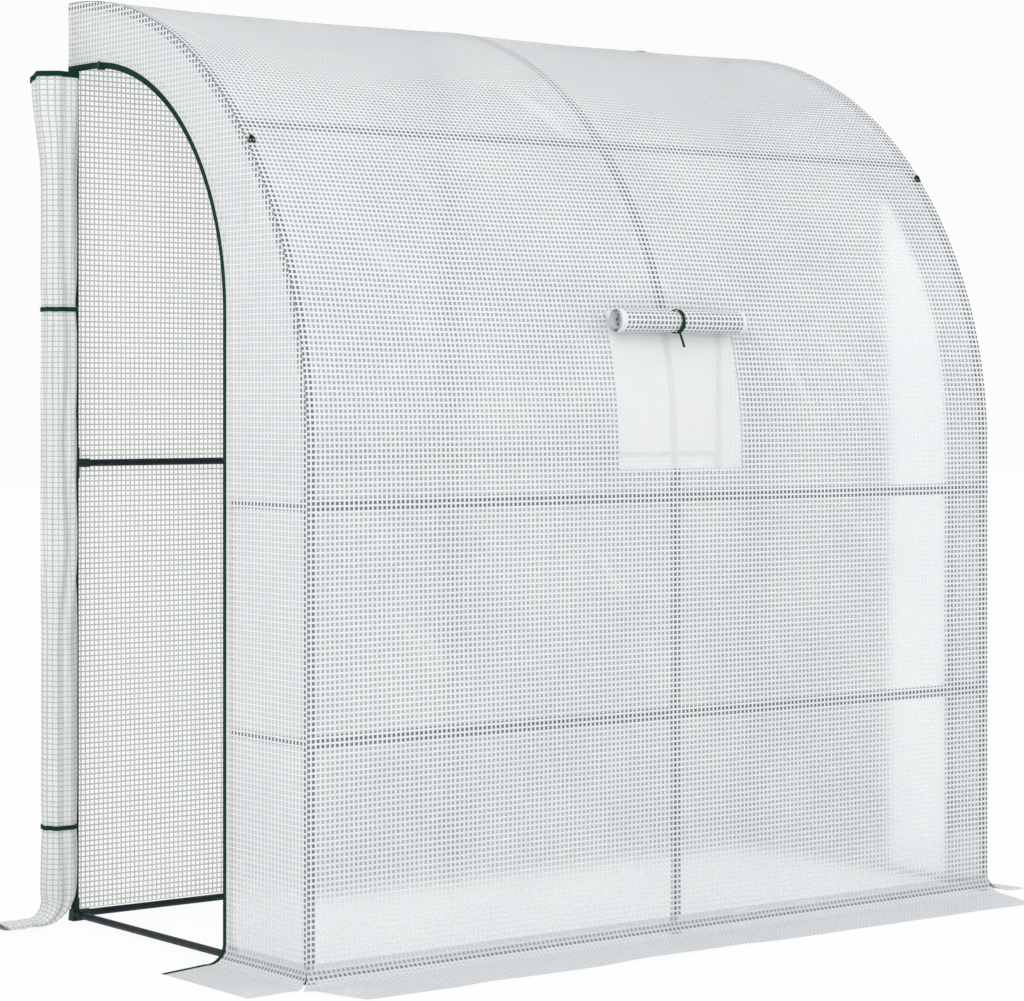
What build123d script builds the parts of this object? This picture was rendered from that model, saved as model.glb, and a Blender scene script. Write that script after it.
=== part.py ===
import os
from math import acos, cos, degrees, pi, radians, sin, tan

from build123d import *

os.makedirs("parts", exist_ok=True)

# Lean-to greenhouse. X runs along its length, the front faces -Y and Z is up.
# The origin is under the middle rear post, on the ground. Sizes are in millimetres.

# Frame, measured between tube centre lines
frame_length = 1986.0
frame_depth = 978.0
low_rail_height = 498.0
rail_spacing = 491.0  # from the low front rail up to the middle one
leg_above_rail = 107.0  # straight part of a front leg above the middle rail
rear_rail_height = 1063.0
upper_arch_radius = 950.0
purlin_angle = 48.5  # from the ridge, down the arch

# Tubes and push-fit fittings
tube_diameter = 16.0
tube_wall = 0.8
socket_clearance = 0.3  # on the diameter
socket_wall = 1.85
socket_reach = 36.0  # from the middle of a fitting to a socket's mouth
core_web = 1.85  # solid left between the floors of two sockets
seat_gap = 0.3  # from a tube's end to its socket's floor
hub_overrun = 8.0  # how far a lone socket runs past the middle
foot_thickness = 5.0  # under the ground rails' sockets
foot_width = 24.0
foot_taper = 2.0  # drawn in on each side over the foot's height
foot_height = 26.0

# Cover sheets
sheet = 1.2
cover_gap = 0.4  # from the fittings to the cover
edge_gap = 0.2  # from an end panel to the roof sheet
rear_hem_height = 24.0

# Skirts that lie on the ground
skirt_bend = 40.0
front_skirt_width = 205.0
left_skirt_width = 176.0
right_skirt_width = 84.0
skirt_lap = 46.0  # how far the front skirt spreads past the left corner
skirt_notch = 78.0  # from the front wall to the notch between two skirts
skirt_tip_left = 10.0  # the front skirt's outer corners, in from the ends
skirt_tip_right = 56.0
skirt_splay = 36.0  # the left skirt's rear edge drifts forward by this much

# Doorways and their zips
door_head_drop = 148.0  # from the ridge tube down to the head of a doorway
left_return = 314.0  # from the front tubes back to the front edge of the doorway
left_head_run = 90.0  # straight part of the doorway's head, before its corner arc
right_return = 153.0
right_head_run = 0.0
tape_width = 12.0
tape_thickness = 1.2
coil_width = 2.5
coil_thickness = 3.6
jamb_inset = 8.0  # from the zip tape's outer edge to the jamb post's middle

# Zip sliders and pulls
slider_length = 24.0
slider_plate = 1.8
slider_gap = 0.5
slider_web = 2.5
slider_lap = 6.0  # how far the slider's plates reach over the tape
left_slider_angle = 5.0  # from the top of the doorway's corner arc
right_slider_angle = 47.0
bridge_wire = 2.4
bridge_rise = 4.5
bridge_span = 15.0
pull_gap = 0.3
pull_eye_wall = 1.6
pull_width = 9.0
pull_length = 14.0
pull_thickness = 1.6

# Window
window_width = 366.0
window_height = 340.0
window_sill = 1054.0
window_place = 15.0  # from the middle arch to the middle of the window
net_margin = 14.0
net_thickness = 0.8
flap_width = 372.0
roll_radius = 26.5
roll_pitch = 3.2
roll_core = 6.5  # radius of the open middle
roll_gap = 0.3
roll_rise = 6.0  # from the top of the opening down to the middle of the roll
seam_strip = 30.0
window_tie_width = 12.0
window_tie_place = 8.0
window_tie_tail = 34.0
window_tie_open = 28.0  # degrees left open behind the roll, on each side of the seam strip
tie_thickness = 1.2
tie_gap = 0.4

# Left door, gathered at the rear corner
bundle_radius = 40.0
bundle_waist = 37.0
bundle_flare = 46.0
bundle_mouth = 50.0  # radius at the top, where the leaf spreads
mouth_drop = 250.0  # from the top down to where the spread starts
bundle_folds = 7
fold_depth = 7.0
bundle_out = 50.0  # from the end of the cover to the middle of the bundle
bundle_forward = 40.0  # from the rear sheet to the middle of the bundle
bundle_top = 1951.0
upper_tie_height = 1418.0
lower_tie_height = 227.0
bundle_bottom = 30.0
binding_height = 12.0
binding_proud = 2.5
door_tie_width = 12.0
hem_reach = 152.0  # from the middle of the bundle out to the tip of the trailing hem
hem_width = 92.0
hem_neck = 22.0
hem_thickness = 4.0
ground_gap = 1.0

# Right door, drawn part of the way back
leaf_drawn_back = 273.0  # from the doorway's front edge to the leaf's free edge
leaf_folds = 9
leaf_fold_depth = 14.0
leaf_bottom = 16.0
leaf_clear = 4.0  # from the zip coil to the leaf
leaf_hem_lap = 0.6

# Ties on the end arches and wall tabs on the rear top edge
arch_tie_drop = 50.0  # along the arch, down from the middle of the purlin's joint
loop_radius = 8.0
loop_cord = 4.0
tie_sleeve = 8.0
tail_cord = 3.6
tail_length = 166.0
tab_width = 42.0
tab_height = 70.0
tab_thickness = 2.0
tab_rise = 8.0
tab_hole = 8.0
tab_hole_drop = 50.0
tab_first = -80.0
tab_spacing = 810.0

# Sizes that follow
tube_bore = tube_diameter - 2 * tube_wall
socket_bore = tube_diameter + socket_clearance
socket_diameter = socket_bore + 2 * socket_wall
hub_core = socket_bore / 2 + core_web
tube_start = hub_core + seat_gap
ground_rail_height = foot_thickness + socket_diameter / 2
mid_rail_height = low_rail_height + rail_spacing
spring_height = mid_rail_height + leg_above_rail
purlin_sine = sin(radians(purlin_angle))
purlin_cosine = cos(radians(purlin_angle))
lower_arch_radius = (frame_depth - upper_arch_radius * purlin_sine) / (1 - purlin_sine)
lower_centre = ((lower_arch_radius - upper_arch_radius) * purlin_sine, spring_height)
upper_centre = (0, spring_height + (lower_arch_radius - upper_arch_radius) * purlin_cosine)
ridge_height = upper_centre[1] + upper_arch_radius
cover_inner = socket_diameter / 2 + cover_gap
cover_outer = cover_inner + sheet
end_x = frame_length / 2
cover_end = end_x + cover_outer
front_face = -frame_depth - cover_outer
wall_foot = skirt_bend + sheet
door_head = ridge_height - door_head_drop
tab_top = ridge_height + cover_outer + tab_rise
tab_places = [(x, tab_top - tab_hole_drop) for x in (tab_first, tab_first + tab_spacing)]
sides = {"left": -1, "mid": 0, "right": 1}
ends = {"left": -1, "right": 1}
door_front = {"left": frame_depth - left_return, "right": frame_depth - right_return}
door_corner = {"left": door_front["left"] - left_head_run, "right": door_front["right"] - right_head_run}


def keep(name, builder):
    builder.part.label = name
    export_step(builder.part, f"parts/{name}.step")


# Tubes


def straight_tube(start, end):
    way = Vector(*end) - Vector(*start)
    with BuildPart() as run:
        with BuildSketch(Plane(origin=start, z_dir=way)):
            Circle(tube_diameter / 2)
            Circle(tube_bore / 2, mode=Mode.SUBTRACT)
        extrude(amount=way.length)
    return run.part


def arc_plane(x, centre, radius, angle):
    turn = radians(angle)
    point = (x, centre[0] - radius * sin(turn), centre[1] + radius * cos(turn))
    return Plane(origin=point, x_dir=(1, 0, 0), z_dir=(0, -cos(turn), -sin(turn)))


def bent_rod(x, centre, radius, start, turn, outside, inside=0):
    with BuildPart() as bend:
        with BuildSketch(arc_plane(x, centre, radius, start)):
            Circle(outside / 2)
            if inside:
                Circle(inside / 2, mode=Mode.SUBTRACT)
        revolve(axis=Axis((x, *centre), (1, 0, 0)), revolution_arc=turn)
    return bend.part


def angle_of(length, radius):
    return degrees(length / radius)


def post(x, y, heights):
    lengths = []
    for below, above in zip(heights, heights[1:]):
        lengths.append(straight_tube((x, y, below + tube_start), (x, y, above - tube_start)))
    return lengths


for side, way in sides.items():
    x = way * end_x
    with BuildPart() as front_post:
        add(post(x, -frame_depth, [ground_rail_height, low_rail_height, mid_rail_height]))
    keep(f"front_post_{side}", front_post)

    with BuildPart() as rear_post:
        add(post(x, 0, [ground_rail_height, rear_rail_height, ridge_height]))
    keep(f"rear_post_{side}", rear_post)

    lower_start = purlin_angle + angle_of(tube_start, lower_arch_radius)
    upper_start = angle_of(tube_start, upper_arch_radius)
    leg_foot = (x, -frame_depth, mid_rail_height + tube_start)
    with BuildPart() as arch:
        add(straight_tube(leg_foot, (x, -frame_depth, spring_height)))
        add(bent_rod(x, lower_centre, lower_arch_radius, lower_start, 90 - lower_start,
                     tube_diameter, tube_bore))
        add(bent_rod(x, upper_centre, upper_arch_radius, upper_start, purlin_angle - 2 * upper_start,
                     tube_diameter, tube_bore))
    keep(f"arch_{side}", arch)

purlin_place = (-upper_arch_radius * purlin_sine, upper_centre[1] + upper_arch_radius * purlin_cosine)
rails = {
    "front_ground_rail": (-frame_depth, ground_rail_height),
    "rear_ground_rail": (0, ground_rail_height),
    "front_rail_low": (-frame_depth, low_rail_height),
    "front_rail_mid": (-frame_depth, mid_rail_height),
    "rear_rail": (0, rear_rail_height),
    "purlin": purlin_place,
    "ridge_rail": (0, ridge_height),
}
for name, (y, z) in rails.items():
    with BuildPart() as rail:
        add(straight_tube((-end_x + tube_start, y, z), (-tube_start, y, z)))
        add(straight_tube((tube_start, y, z), (end_x - tube_start, y, z)))
    keep(name, rail)

jamb_y = {side: -door_front[side] - tape_width - jamb_inset for side in ends}
for side, way in ends.items():
    x = way * end_x
    jamb = jamb_y[side]
    with BuildPart() as end_ground_rail:
        for rear, front in ((0, jamb), (jamb, -frame_depth)):
            add(straight_tube((x, rear - tube_start, ground_rail_height),
                              (x, front + tube_start, ground_rail_height)))
    keep(f"end_ground_rail_{side}", end_ground_rail)

    with BuildPart() as end_rails:
        for z in (low_rail_height, mid_rail_height):
            add(straight_tube((x, jamb - tube_start, z), (x, -frame_depth + tube_start, z)))
    keep(f"end_rails_{side}", end_rails)

    with BuildPart() as jamb_post:
        add(post(x, jamb, [ground_rail_height, low_rail_height, mid_rail_height]))
    keep(f"jamb_post_{side}", jamb_post)


# Fittings: sockets along the given ways, each with a floor at the hub


def rod(centre, way, start, end, diameter):
    begin = Vector(*centre) + Vector(*way) * start
    with BuildPart() as bar:
        with BuildSketch(Plane(origin=begin, z_dir=way)):
            Circle(diameter / 2)
        extrude(amount=end - start)
    return bar.part


def sockets(centre, ways):
    with BuildPart() as body:
        for way in ways:
            back = tuple(-step for step in way)
            if back not in ways:
                add(rod(centre, way, -hub_overrun, socket_reach, socket_diameter))
            elif way > back:
                add(rod(centre, way, -socket_reach, socket_reach, socket_diameter))
        for way in ways:
            add(rod(centre, way, hub_core, socket_reach, socket_bore), mode=Mode.SUBTRACT)
    return body.part


def arch_socket(x, centre, radius, start, way, overrun):
    reach = way * angle_of(socket_reach, radius)
    core = way * angle_of(hub_core, radius)
    behind = way * angle_of(overrun, radius)
    with BuildPart() as body:
        add(bent_rod(x, centre, radius, start - behind, reach + behind, socket_diameter))
        add(bent_rod(x, centre, radius, start + core, reach - core, socket_bore), mode=Mode.SUBTRACT)
    return body.part


def foot(centre, ways):
    x, y, _ = centre
    with BuildPart() as body:
        with BuildSketch(Plane(origin=(x, y, 0))):
            Rectangle(foot_width, foot_width)
        with BuildSketch(Plane(origin=(x, y, foot_height))):
            Rectangle(foot_width - 2 * foot_taper, foot_width - 2 * foot_taper)
        loft()
        add(sockets(centre, ways))
        for way in ways:
            add(rod(centre, way, hub_core, socket_reach, socket_bore), mode=Mode.SUBTRACT)
    return body.part


up = (0, 0, 1)
down = (0, 0, -1)
to_front = (0, -1, 0)
to_rear = (0, 1, 0)
to_left = (-1, 0, 0)
to_right = (1, 0, 0)
along = {"left": [to_right], "mid": [to_right, to_left], "right": [to_left]}

for row, y, inward in (("front", -frame_depth, to_rear), ("rear", 0, to_front)):
    for side, way in ends.items():
        with BuildPart() as corner_foot:
            add(foot((way * end_x, y, ground_rail_height), [up, inward] + along[side]))
        keep(f"{row}_foot_{side}", corner_foot)

with BuildPart() as mid_feet:
    for y in (-frame_depth, 0):
        add(foot((0, y, ground_rail_height), [up] + along["mid"]))
keep("mid_feet", mid_feet)

for side, way in sides.items():
    inward = [] if side == "mid" else [to_rear]
    with BuildPart() as front_crosses:
        for z in (low_rail_height, mid_rail_height):
            add(sockets((way * end_x, -frame_depth, z), [up, down] + inward + along[side]))
    keep(f"front_crosses_{side}", front_crosses)

with BuildPart() as rear_crosses:
    for side, way in sides.items():
        add(sockets((way * end_x, 0, rear_rail_height), [up, down] + along[side]))
keep("rear_crosses", rear_crosses)


def arch_joint(centre, ways, bent_sockets):
    with BuildPart() as body:
        add(sockets(centre, ways))
        add(bent_sockets)
        for way in ways:
            add(rod(centre, way, hub_core, socket_reach, socket_bore), mode=Mode.SUBTRACT)
    return body.part


with BuildPart() as purlin_joints:
    for side, way in sides.items():
        x = way * end_x
        below = arch_socket(x, lower_centre, lower_arch_radius, purlin_angle, 1, 0)
        above = arch_socket(x, upper_centre, upper_arch_radius, purlin_angle, -1, 0)
        add(arch_joint((x, *purlin_place), along[side], [below, above]))
keep("purlin_joints", purlin_joints)

with BuildPart() as ridge_joints:
    for side, way in sides.items():
        x = way * end_x
        bent = arch_socket(x, upper_centre, upper_arch_radius, 0, 1, hub_overrun)
        add(arch_joint((x, 0, ridge_height), [down] + along[side], [bent]))
keep("ridge_joints", ridge_joints)

for side, way in ends.items():
    x = way * end_x
    jamb = jamb_y[side]
    with BuildPart() as jamb_fittings:
        add(sockets((x, jamb, ground_rail_height), [up, to_rear, to_front]))
        add(sockets((x, jamb, low_rail_height), [up, down, to_front]))
        add(sockets((x, jamb, mid_rail_height), [down, to_front]))
    keep(f"jamb_fittings_{side}", jamb_fittings)


# Cover: lines that run round the frame at a distance from its tubes


def arch_line(off, foot_z):
    front = -frame_depth - off
    Line((front, foot_z), (front, spring_height))
    CenterArc(lower_centre, lower_arch_radius + off, 90 + purlin_angle, 90 - purlin_angle)
    CenterArc(upper_centre, upper_arch_radius + off, 90, purlin_angle)
    Line((0, ridge_height + off), (cover_outer, ridge_height + off))


def wrap(inner, outer, foot_z, half_length):
    with BuildPart() as skin:
        with BuildSketch(Plane.YZ):
            with BuildLine():
                arch_line(inner, foot_z)
                arch_line(outer, foot_z)
                Line((-frame_depth - inner, foot_z), (-frame_depth - outer, foot_z))
                Line((cover_outer, ridge_height + inner), (cover_outer, ridge_height + outer))
            make_face()
        extrude(amount=half_length, both=True)
    return skin.part


def doorway(side, grow, foot_z, start_x, depth, rear=cover_outer):
    front = -door_front[side] - grow
    head = door_head + grow
    corner = door_corner[side] + grow
    arc_y = front + corner
    with BuildPart() as void:
        with BuildSketch(Plane.YZ.offset(start_x)):
            with BuildLine():
                CenterArc((arc_y, head - corner), corner, 90, 90)
                Polyline((front, head - corner), (front, foot_z), (rear, foot_z), (rear, head),
                         (arc_y, head))
            make_face()
        extrude(amount=depth)
    return void.part


window_top = window_sill + window_height
with BuildPart() as front_and_roof_sheet:
    add(wrap(cover_inner, cover_outer, wall_foot, cover_end))
    with BuildSketch(Plane.XZ.offset(frame_depth / 2)):
        with Locations((window_place, (window_sill + window_top) / 2)):
            Rectangle(window_width, window_height)
    extrude(amount=frame_depth, mode=Mode.SUBTRACT)
keep("front_and_roof_sheet", front_and_roof_sheet)

net_reach = window_place + window_width / 2 + net_margin
with BuildPart() as window_net:
    add(wrap(cover_inner - net_thickness, cover_inner, wall_foot, net_reach))
    with BuildSketch(Plane.XZ.offset(frame_depth / 2)):
        with Locations((window_place, (window_sill + window_top) / 2)):
            Rectangle(window_width + 2 * net_margin, window_height + 2 * net_margin)
    extrude(amount=frame_depth, mode=Mode.INTERSECT)
keep("window_net", window_net)

with BuildPart() as rear_sheet:
    with BuildSketch(Plane.XZ.offset(-cover_outer)):
        with Locations((0, (rear_hem_height + ridge_height + cover_inner) / 2)):
            Rectangle(2 * cover_end, ridge_height + cover_inner - rear_hem_height)
        with Locations(tab_places):
            Circle(tab_hole / 2, mode=Mode.SUBTRACT)
    extrude(amount=sheet)
keep("rear_sheet", rear_sheet)

panel_edge = cover_inner - edge_gap
for side, way in ends.items():
    face_x = way * cover_end
    with BuildPart() as end_panel:
        with BuildSketch(Plane.YZ.offset(face_x)):
            with BuildLine():
                Line((-frame_depth - panel_edge, wall_foot), (-frame_depth - panel_edge, spring_height))
                CenterArc(lower_centre, lower_arch_radius + panel_edge, 90 + purlin_angle,
                          90 - purlin_angle)
                CenterArc(upper_centre, upper_arch_radius + panel_edge, 90, purlin_angle)
                Polyline((0, ridge_height + panel_edge), (panel_edge, ridge_height + panel_edge),
                         (panel_edge, wall_foot), (-frame_depth - panel_edge, wall_foot))
            make_face()
        extrude(amount=-way * sheet)
        add(doorway(side, 0, 0, face_x - way * cover_inner, way * 2 * cover_inner), mode=Mode.SUBTRACT)
    keep(f"end_panel_{side}", end_panel)

# Skirts: the walls bend outwards and lie flat


def skirt_section(plane, wall, flare):
    centre = (wall + flare * skirt_bend, wall_foot)
    turn = 90 if flare > 0 else -90
    start = 180 if flare > 0 else 0
    with BuildSketch(plane) as section:
        with BuildLine():
            upper = CenterArc(centre, skirt_bend, start, turn)
            under = CenterArc(centre, skirt_bend + sheet, start, turn)
            Line(upper @ 0, under @ 0)
            Line(upper @ 1, under @ 1)
        make_face()
    return section.sketch


flat_front = front_face - skirt_bend
front_edge = front_face - front_skirt_width
notch_y = front_face - skirt_notch
with BuildPart() as skirt_front:
    extrude(skirt_section(Plane.YZ.offset(-cover_end), front_face, -1), amount=2 * cover_end)
    with BuildSketch(Plane.XY):
        Polygon((-cover_end, flat_front), (-cover_end - skirt_lap, notch_y),
                (-cover_end + skirt_tip_left, front_edge), (cover_end - skirt_tip_right, front_edge),
                (cover_end - skirt_lap / 2, notch_y), (cover_end, flat_front), align=None)
    extrude(amount=sheet)
keep("skirt_front", skirt_front)

end_skirt_width = {"left": left_skirt_width, "right": right_skirt_width}
notch_x = {"left": cover_end + skirt_lap, "right": cover_end - skirt_lap / 2}
splay = {"left": skirt_splay, "right": 0}
for side, way in ends.items():
    wall_x = way * cover_end
    flat_x = wall_x + way * skirt_bend
    edge_x = wall_x + way * end_skirt_width[side]
    rear_y = -door_front[side] - tape_width
    front_y = front_face + sheet + edge_gap
    with BuildPart() as end_skirt:
        extrude(skirt_section(Plane.XZ.offset(-rear_y), wall_x, way), amount=rear_y - front_y)
        with BuildSketch(Plane.XY):
            Polygon((flat_x, front_y), (edge_x, front_y - skirt_lap), (edge_x, rear_y - splay[side]),
                    (flat_x, rear_y), align=None)
        extrude(amount=sheet)
    keep(f"skirt_{side}", end_skirt)

    # Zip tape on the panel's edge, with its coil, turning out along the skirt's rear edge
    with BuildPart() as zip_tape:
        add(doorway(side, tape_width, wall_foot, wall_x, way * tape_thickness, panel_edge))
        add(doorway(side, 0, 0, wall_x - way * sheet, way * 2 * cover_outer), mode=Mode.SUBTRACT)
        add(doorway(side, 0, wall_foot, wall_x + way * tape_thickness, -way * coil_thickness, panel_edge))
        add(doorway(side, -coil_width, 0, wall_x - way * cover_outer, way * 2 * cover_outer),
            mode=Mode.SUBTRACT)
        tape_x = wall_x + way * tape_thickness
        extrude(skirt_section(Plane.XZ.offset(-rear_y), tape_x, way), amount=-tape_width)
        flat_x = tape_x + way * skirt_bend
        with BuildSketch(Plane.XY):
            Polygon((flat_x, rear_y), (flat_x, rear_y + tape_width),
                    (edge_x, rear_y + tape_width - splay[side]), (edge_x, rear_y - splay[side]), align=None)
        extrude(amount=sheet)
    keep(f"zip_tape_{side}", zip_tape)


# Zip sliders: a channel over the coil, with a bridge for the pull, set at a place on the corner arc.
# In the slider's own plane x is the way it travels, y points into the panel and z out of the face.

slider_angle = {"left": left_slider_angle, "right": right_slider_angle}
plate_foot = tape_thickness + slider_gap
plate_top = plate_foot + slider_plate
bridge_axis = plate_top + bridge_rise - bridge_wire / 2
for side, way in ends.items():
    turn = radians(slider_angle[side])
    corner = door_corner[side]
    arc_y = -door_front[side] + corner
    place = (way * cover_end, arc_y - corner * sin(turn), door_head - corner + corner * cos(turn))
    travel = (0, way * cos(turn), way * sin(turn))
    on_arc = Plane(origin=place, x_dir=travel, z_dir=(way, 0, 0))
    across = Plane(origin=place, x_dir=on_arc.y_dir, z_dir=travel)
    back = -(coil_thickness - tape_thickness) - slider_gap
    web_edge = -coil_width - slider_gap - slider_web
    with BuildPart() as zip_slider:
        with BuildSketch(across.offset(-slider_length / 2)):
            with BuildLine():
                Polyline((web_edge, back - slider_plate), (slider_lap, back - slider_plate),
                         (slider_lap, back), (web_edge + slider_web, back),
                         (web_edge + slider_web, plate_foot), (slider_lap, plate_foot),
                         (slider_lap, plate_top), (web_edge, plate_top), close=True)
            make_face()
        extrude(amount=slider_length)
        with BuildSketch(on_arc.offset(plate_top)):
            with GridLocations(bridge_span, 0, 2, 1):
                Rectangle(bridge_wire, bridge_wire)
        extrude(amount=bridge_rise - bridge_wire / 2)
        with BuildSketch(across.offset(-(bridge_span + bridge_wire) / 2)):
            with Locations((0, bridge_axis)):
                Circle(bridge_wire / 2)
        extrude(amount=bridge_span + bridge_wire)
    keep(f"zip_slider_{side}", zip_slider)

    eye_inner = bridge_wire / 2 + pull_gap
    eye_outer = eye_inner + pull_eye_wall
    with BuildPart() as zip_pull:
        with BuildSketch(across.offset(-pull_width / 2)):
            with Locations((0, bridge_axis)):
                Circle(eye_outer)
            with Locations((pull_length / 2, bridge_axis)):
                Rectangle(pull_length, pull_thickness)
            with Locations((0, bridge_axis)):
                Circle(eye_inner, mode=Mode.SUBTRACT)
        extrude(amount=pull_width)
    keep(f"zip_pull_{side}", zip_pull)


# Window flap, rolled up under its seam, and the tie round it.
# In the roll's plane x points away from the cover and y up along it.

roll_height = window_top - roll_rise
outer_radius = lower_arch_radius + cover_outer
roll_turn = acos((roll_height - lower_centre[1]) / (outer_radius + roll_radius))
roll_out = outer_radius + roll_radius + roll_gap
roll_middle = (lower_centre[0] - roll_out * sin(roll_turn), lower_centre[1] + roll_out * cos(roll_turn))
outward = (0, -sin(roll_turn), cos(roll_turn))


def roll_plane(x):
    return Plane(origin=(x, *roll_middle), x_dir=outward, z_dir=(-1, 0, 0))


quarter_growth = roll_pitch / 4
quarters = int((roll_radius - sheet - roll_core) / quarter_growth)
with BuildPart() as window_flap:
    with BuildSketch(roll_plane(window_place + flap_width / 2)):
        with BuildLine():
            middle = Vector(0, 0)
            radius = roll_radius - sheet
            direction = 180
            Line((-radius, 0), (-radius, seam_strip))
            Line((-radius, seam_strip), (-radius - sheet, seam_strip))
            Line((-radius - sheet, seam_strip), (-radius - sheet, 0))
            for quarter in range(quarters):
                CenterArc(middle, radius, direction, 90)
                CenterArc(middle, radius + sheet, direction, 90)
                direction = direction + 90
                step = Vector(cos(radians(direction)), sin(radians(direction)))
                middle = middle + step * quarter_growth
                radius = radius - quarter_growth
            inner_end = middle + step * radius
            Line(inner_end, inner_end + step * sheet)
        make_face()
    extrude(amount=flap_width)
keep("window_flap", window_flap)

tie_inner = roll_radius + tie_gap
tie_outer = tie_inner + tie_thickness
tie_sweep = 360 - 2 * window_tie_open
with BuildPart() as window_tie:
    with BuildSketch(roll_plane(window_tie_place + window_tie_width / 2)):
        with BuildLine():
            band = CenterArc((0, 0), tie_inner, 180 + window_tie_open, tie_sweep)
            rim = CenterArc((0, 0), tie_outer, 180 + window_tie_open, tie_sweep)
            Line(band @ 0, rim @ 0)
            Line(band @ 1, rim @ 1)
        make_face()
        with Locations(((tie_inner + tie_outer) / 2, -window_tie_tail / 2)):
            Rectangle(tie_thickness, window_tie_tail)
    extrude(amount=window_tie_width)
keep("window_tie", window_tie)


# Left door: the leaf gathered into folds beside the rear corner

bundle_x = -cover_end - bundle_out
bundle_y = cover_outer - bundle_forward


def folds(z, radius):
    lobe = 2 * pi / bundle_folds
    valley = radius - fold_depth
    with BuildSketch(Plane(origin=(bundle_x, bundle_y, z))) as ring:
        with BuildLine():
            for fold in range(bundle_folds):
                turns = (fold * lobe, (fold + 0.5) * lobe, (fold + 1) * lobe)
                reach = (valley, radius, valley)
                ThreePointArc(*[(r * cos(a), r * sin(a)) for r, a in zip(reach, turns)])
        make_face()
    return ring.sketch


tie_half = door_tie_width / 2
stations = [
    (bundle_bottom, bundle_flare),
    (lower_tie_height - 2 * tie_half, bundle_radius),
    (lower_tie_height - tie_half, bundle_waist),
    (lower_tie_height + tie_half, bundle_waist),
    (lower_tie_height + 4 * tie_half, bundle_radius),
    (upper_tie_height - 4 * tie_half, bundle_radius),
    (upper_tie_height - tie_half, bundle_waist),
    (upper_tie_height + tie_half, bundle_waist),
    (upper_tie_height + 4 * tie_half, bundle_radius),
    (bundle_top - mouth_drop, bundle_radius),
    (bundle_top, bundle_mouth),
]
seam_y = cover_inner
with BuildPart() as door_bundle_left:
    loft([folds(z, radius) for z, radius in stations], ruled=True)
    with BuildSketch(Plane(origin=(-cover_end - cover_gap, seam_y, bundle_bottom + bundle_flare))):
        with Locations((-bundle_out / 2, sheet / 2)):
            Rectangle(bundle_out, sheet)
    extrude(amount=bundle_top - bundle_bottom - bundle_flare)
keep("door_bundle_left", door_bundle_left)

binding_foot = bundle_top + edge_gap
binding_rings = [
    folds(binding_foot, bundle_mouth),
    folds(binding_foot + binding_height, bundle_mouth + binding_proud),
]
with BuildPart() as door_binding_left:
    loft(binding_rings, ruled=True)
keep("door_binding_left", door_binding_left)

with BuildPart() as door_hem_left:
    hem_root = bundle_x + bundle_waist / 2
    hem_tip = bundle_x - hem_reach
    with BuildSketch(Plane.XY.offset(ground_gap)):
        with BuildLine():
            root_front = (hem_root, bundle_y - bundle_waist)
            root_rear = (hem_root, bundle_y + bundle_waist)
            tip_front = (hem_tip, bundle_y - hem_width / 2)
            tip_rear = (hem_tip + hem_width / 2, bundle_y + hem_width / 2)
            Polyline(tip_rear, root_rear, root_front, tip_front)
            Line(tip_front, tip_rear)
        make_face()
    extrude(amount=hem_thickness)
    with BuildSketch(Plane(origin=(bundle_x, bundle_y, ground_gap))):
        Circle(hem_neck)
    extrude(amount=bundle_bottom - edge_gap - ground_gap)
keep("door_hem_left", door_hem_left)

with BuildPart() as door_ties_left:
    for z in (lower_tie_height, upper_tie_height):
        with BuildSketch(Plane(origin=(bundle_x, bundle_y, z - tie_half))):
            Circle(bundle_waist + tie_gap + tie_thickness)
            Circle(bundle_waist + tie_gap, mode=Mode.SUBTRACT)
        extrude(amount=door_tie_width)
keep("door_ties_left", door_ties_left)


# Right door: the leaf hangs in folds from the rear corner to its free edge

leaf_reach = door_front["right"] - leaf_drawn_back
leaf_line = cover_end + cover_gap + leaf_fold_depth
leaf_start = (cover_end + cover_gap, cover_inner)
leaf_pitch = leaf_reach / leaf_folds
leaf_points = [leaf_start]
for fold in range(1, leaf_folds + 1):
    leaf_points.append((leaf_line, -fold * leaf_pitch))


def leaf_folds_solid(first, thickness):
    with BuildPart() as cloth:
        with BuildSketch(Plane.XY.offset(leaf_bottom)):
            with BuildLine():
                for fold in range(first, leaf_folds):
                    start = Vector(*leaf_points[fold])
                    end = Vector(*leaf_points[fold + 1])
                    bulge = leaf_fold_depth if fold % 2 else -leaf_fold_depth
                    crest = (start + end) / 2 + Vector(bulge if fold else leaf_fold_depth / 2, 0)
                    ThreePointArc(start, crest, end)
                    shift = Vector(thickness, 0)
                    ThreePointArc(start + shift, crest + shift, end + shift)
                begin = Vector(*leaf_points[first])
                Line(begin, begin + Vector(thickness, 0))
                finish = Vector(*leaf_points[-1])
                Line(finish, finish + Vector(thickness, 0))
            make_face()
        extrude(amount=door_head - leaf_bottom)
    return cloth.part


leaf_depth = 2 * leaf_line
with BuildPart() as door_leaf_right:
    add(leaf_folds_solid(0, sheet))
    add(doorway("right", -leaf_clear - tape_width, 0, 0, leaf_depth), mode=Mode.INTERSECT)
keep("door_leaf_right", door_leaf_right)

with BuildPart() as door_edge_right:
    add(leaf_folds_solid(0, sheet + leaf_hem_lap))
    add(doorway("right", -leaf_clear, 0, 0, leaf_depth), mode=Mode.INTERSECT)
    add(doorway("right", -leaf_clear - tape_width, 0, 0, leaf_depth), mode=Mode.SUBTRACT)
keep("door_edge_right", door_edge_right)


# Ties on the end arches: a loop outside the cover and a sleeve round the tube, with one loose tail

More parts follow.
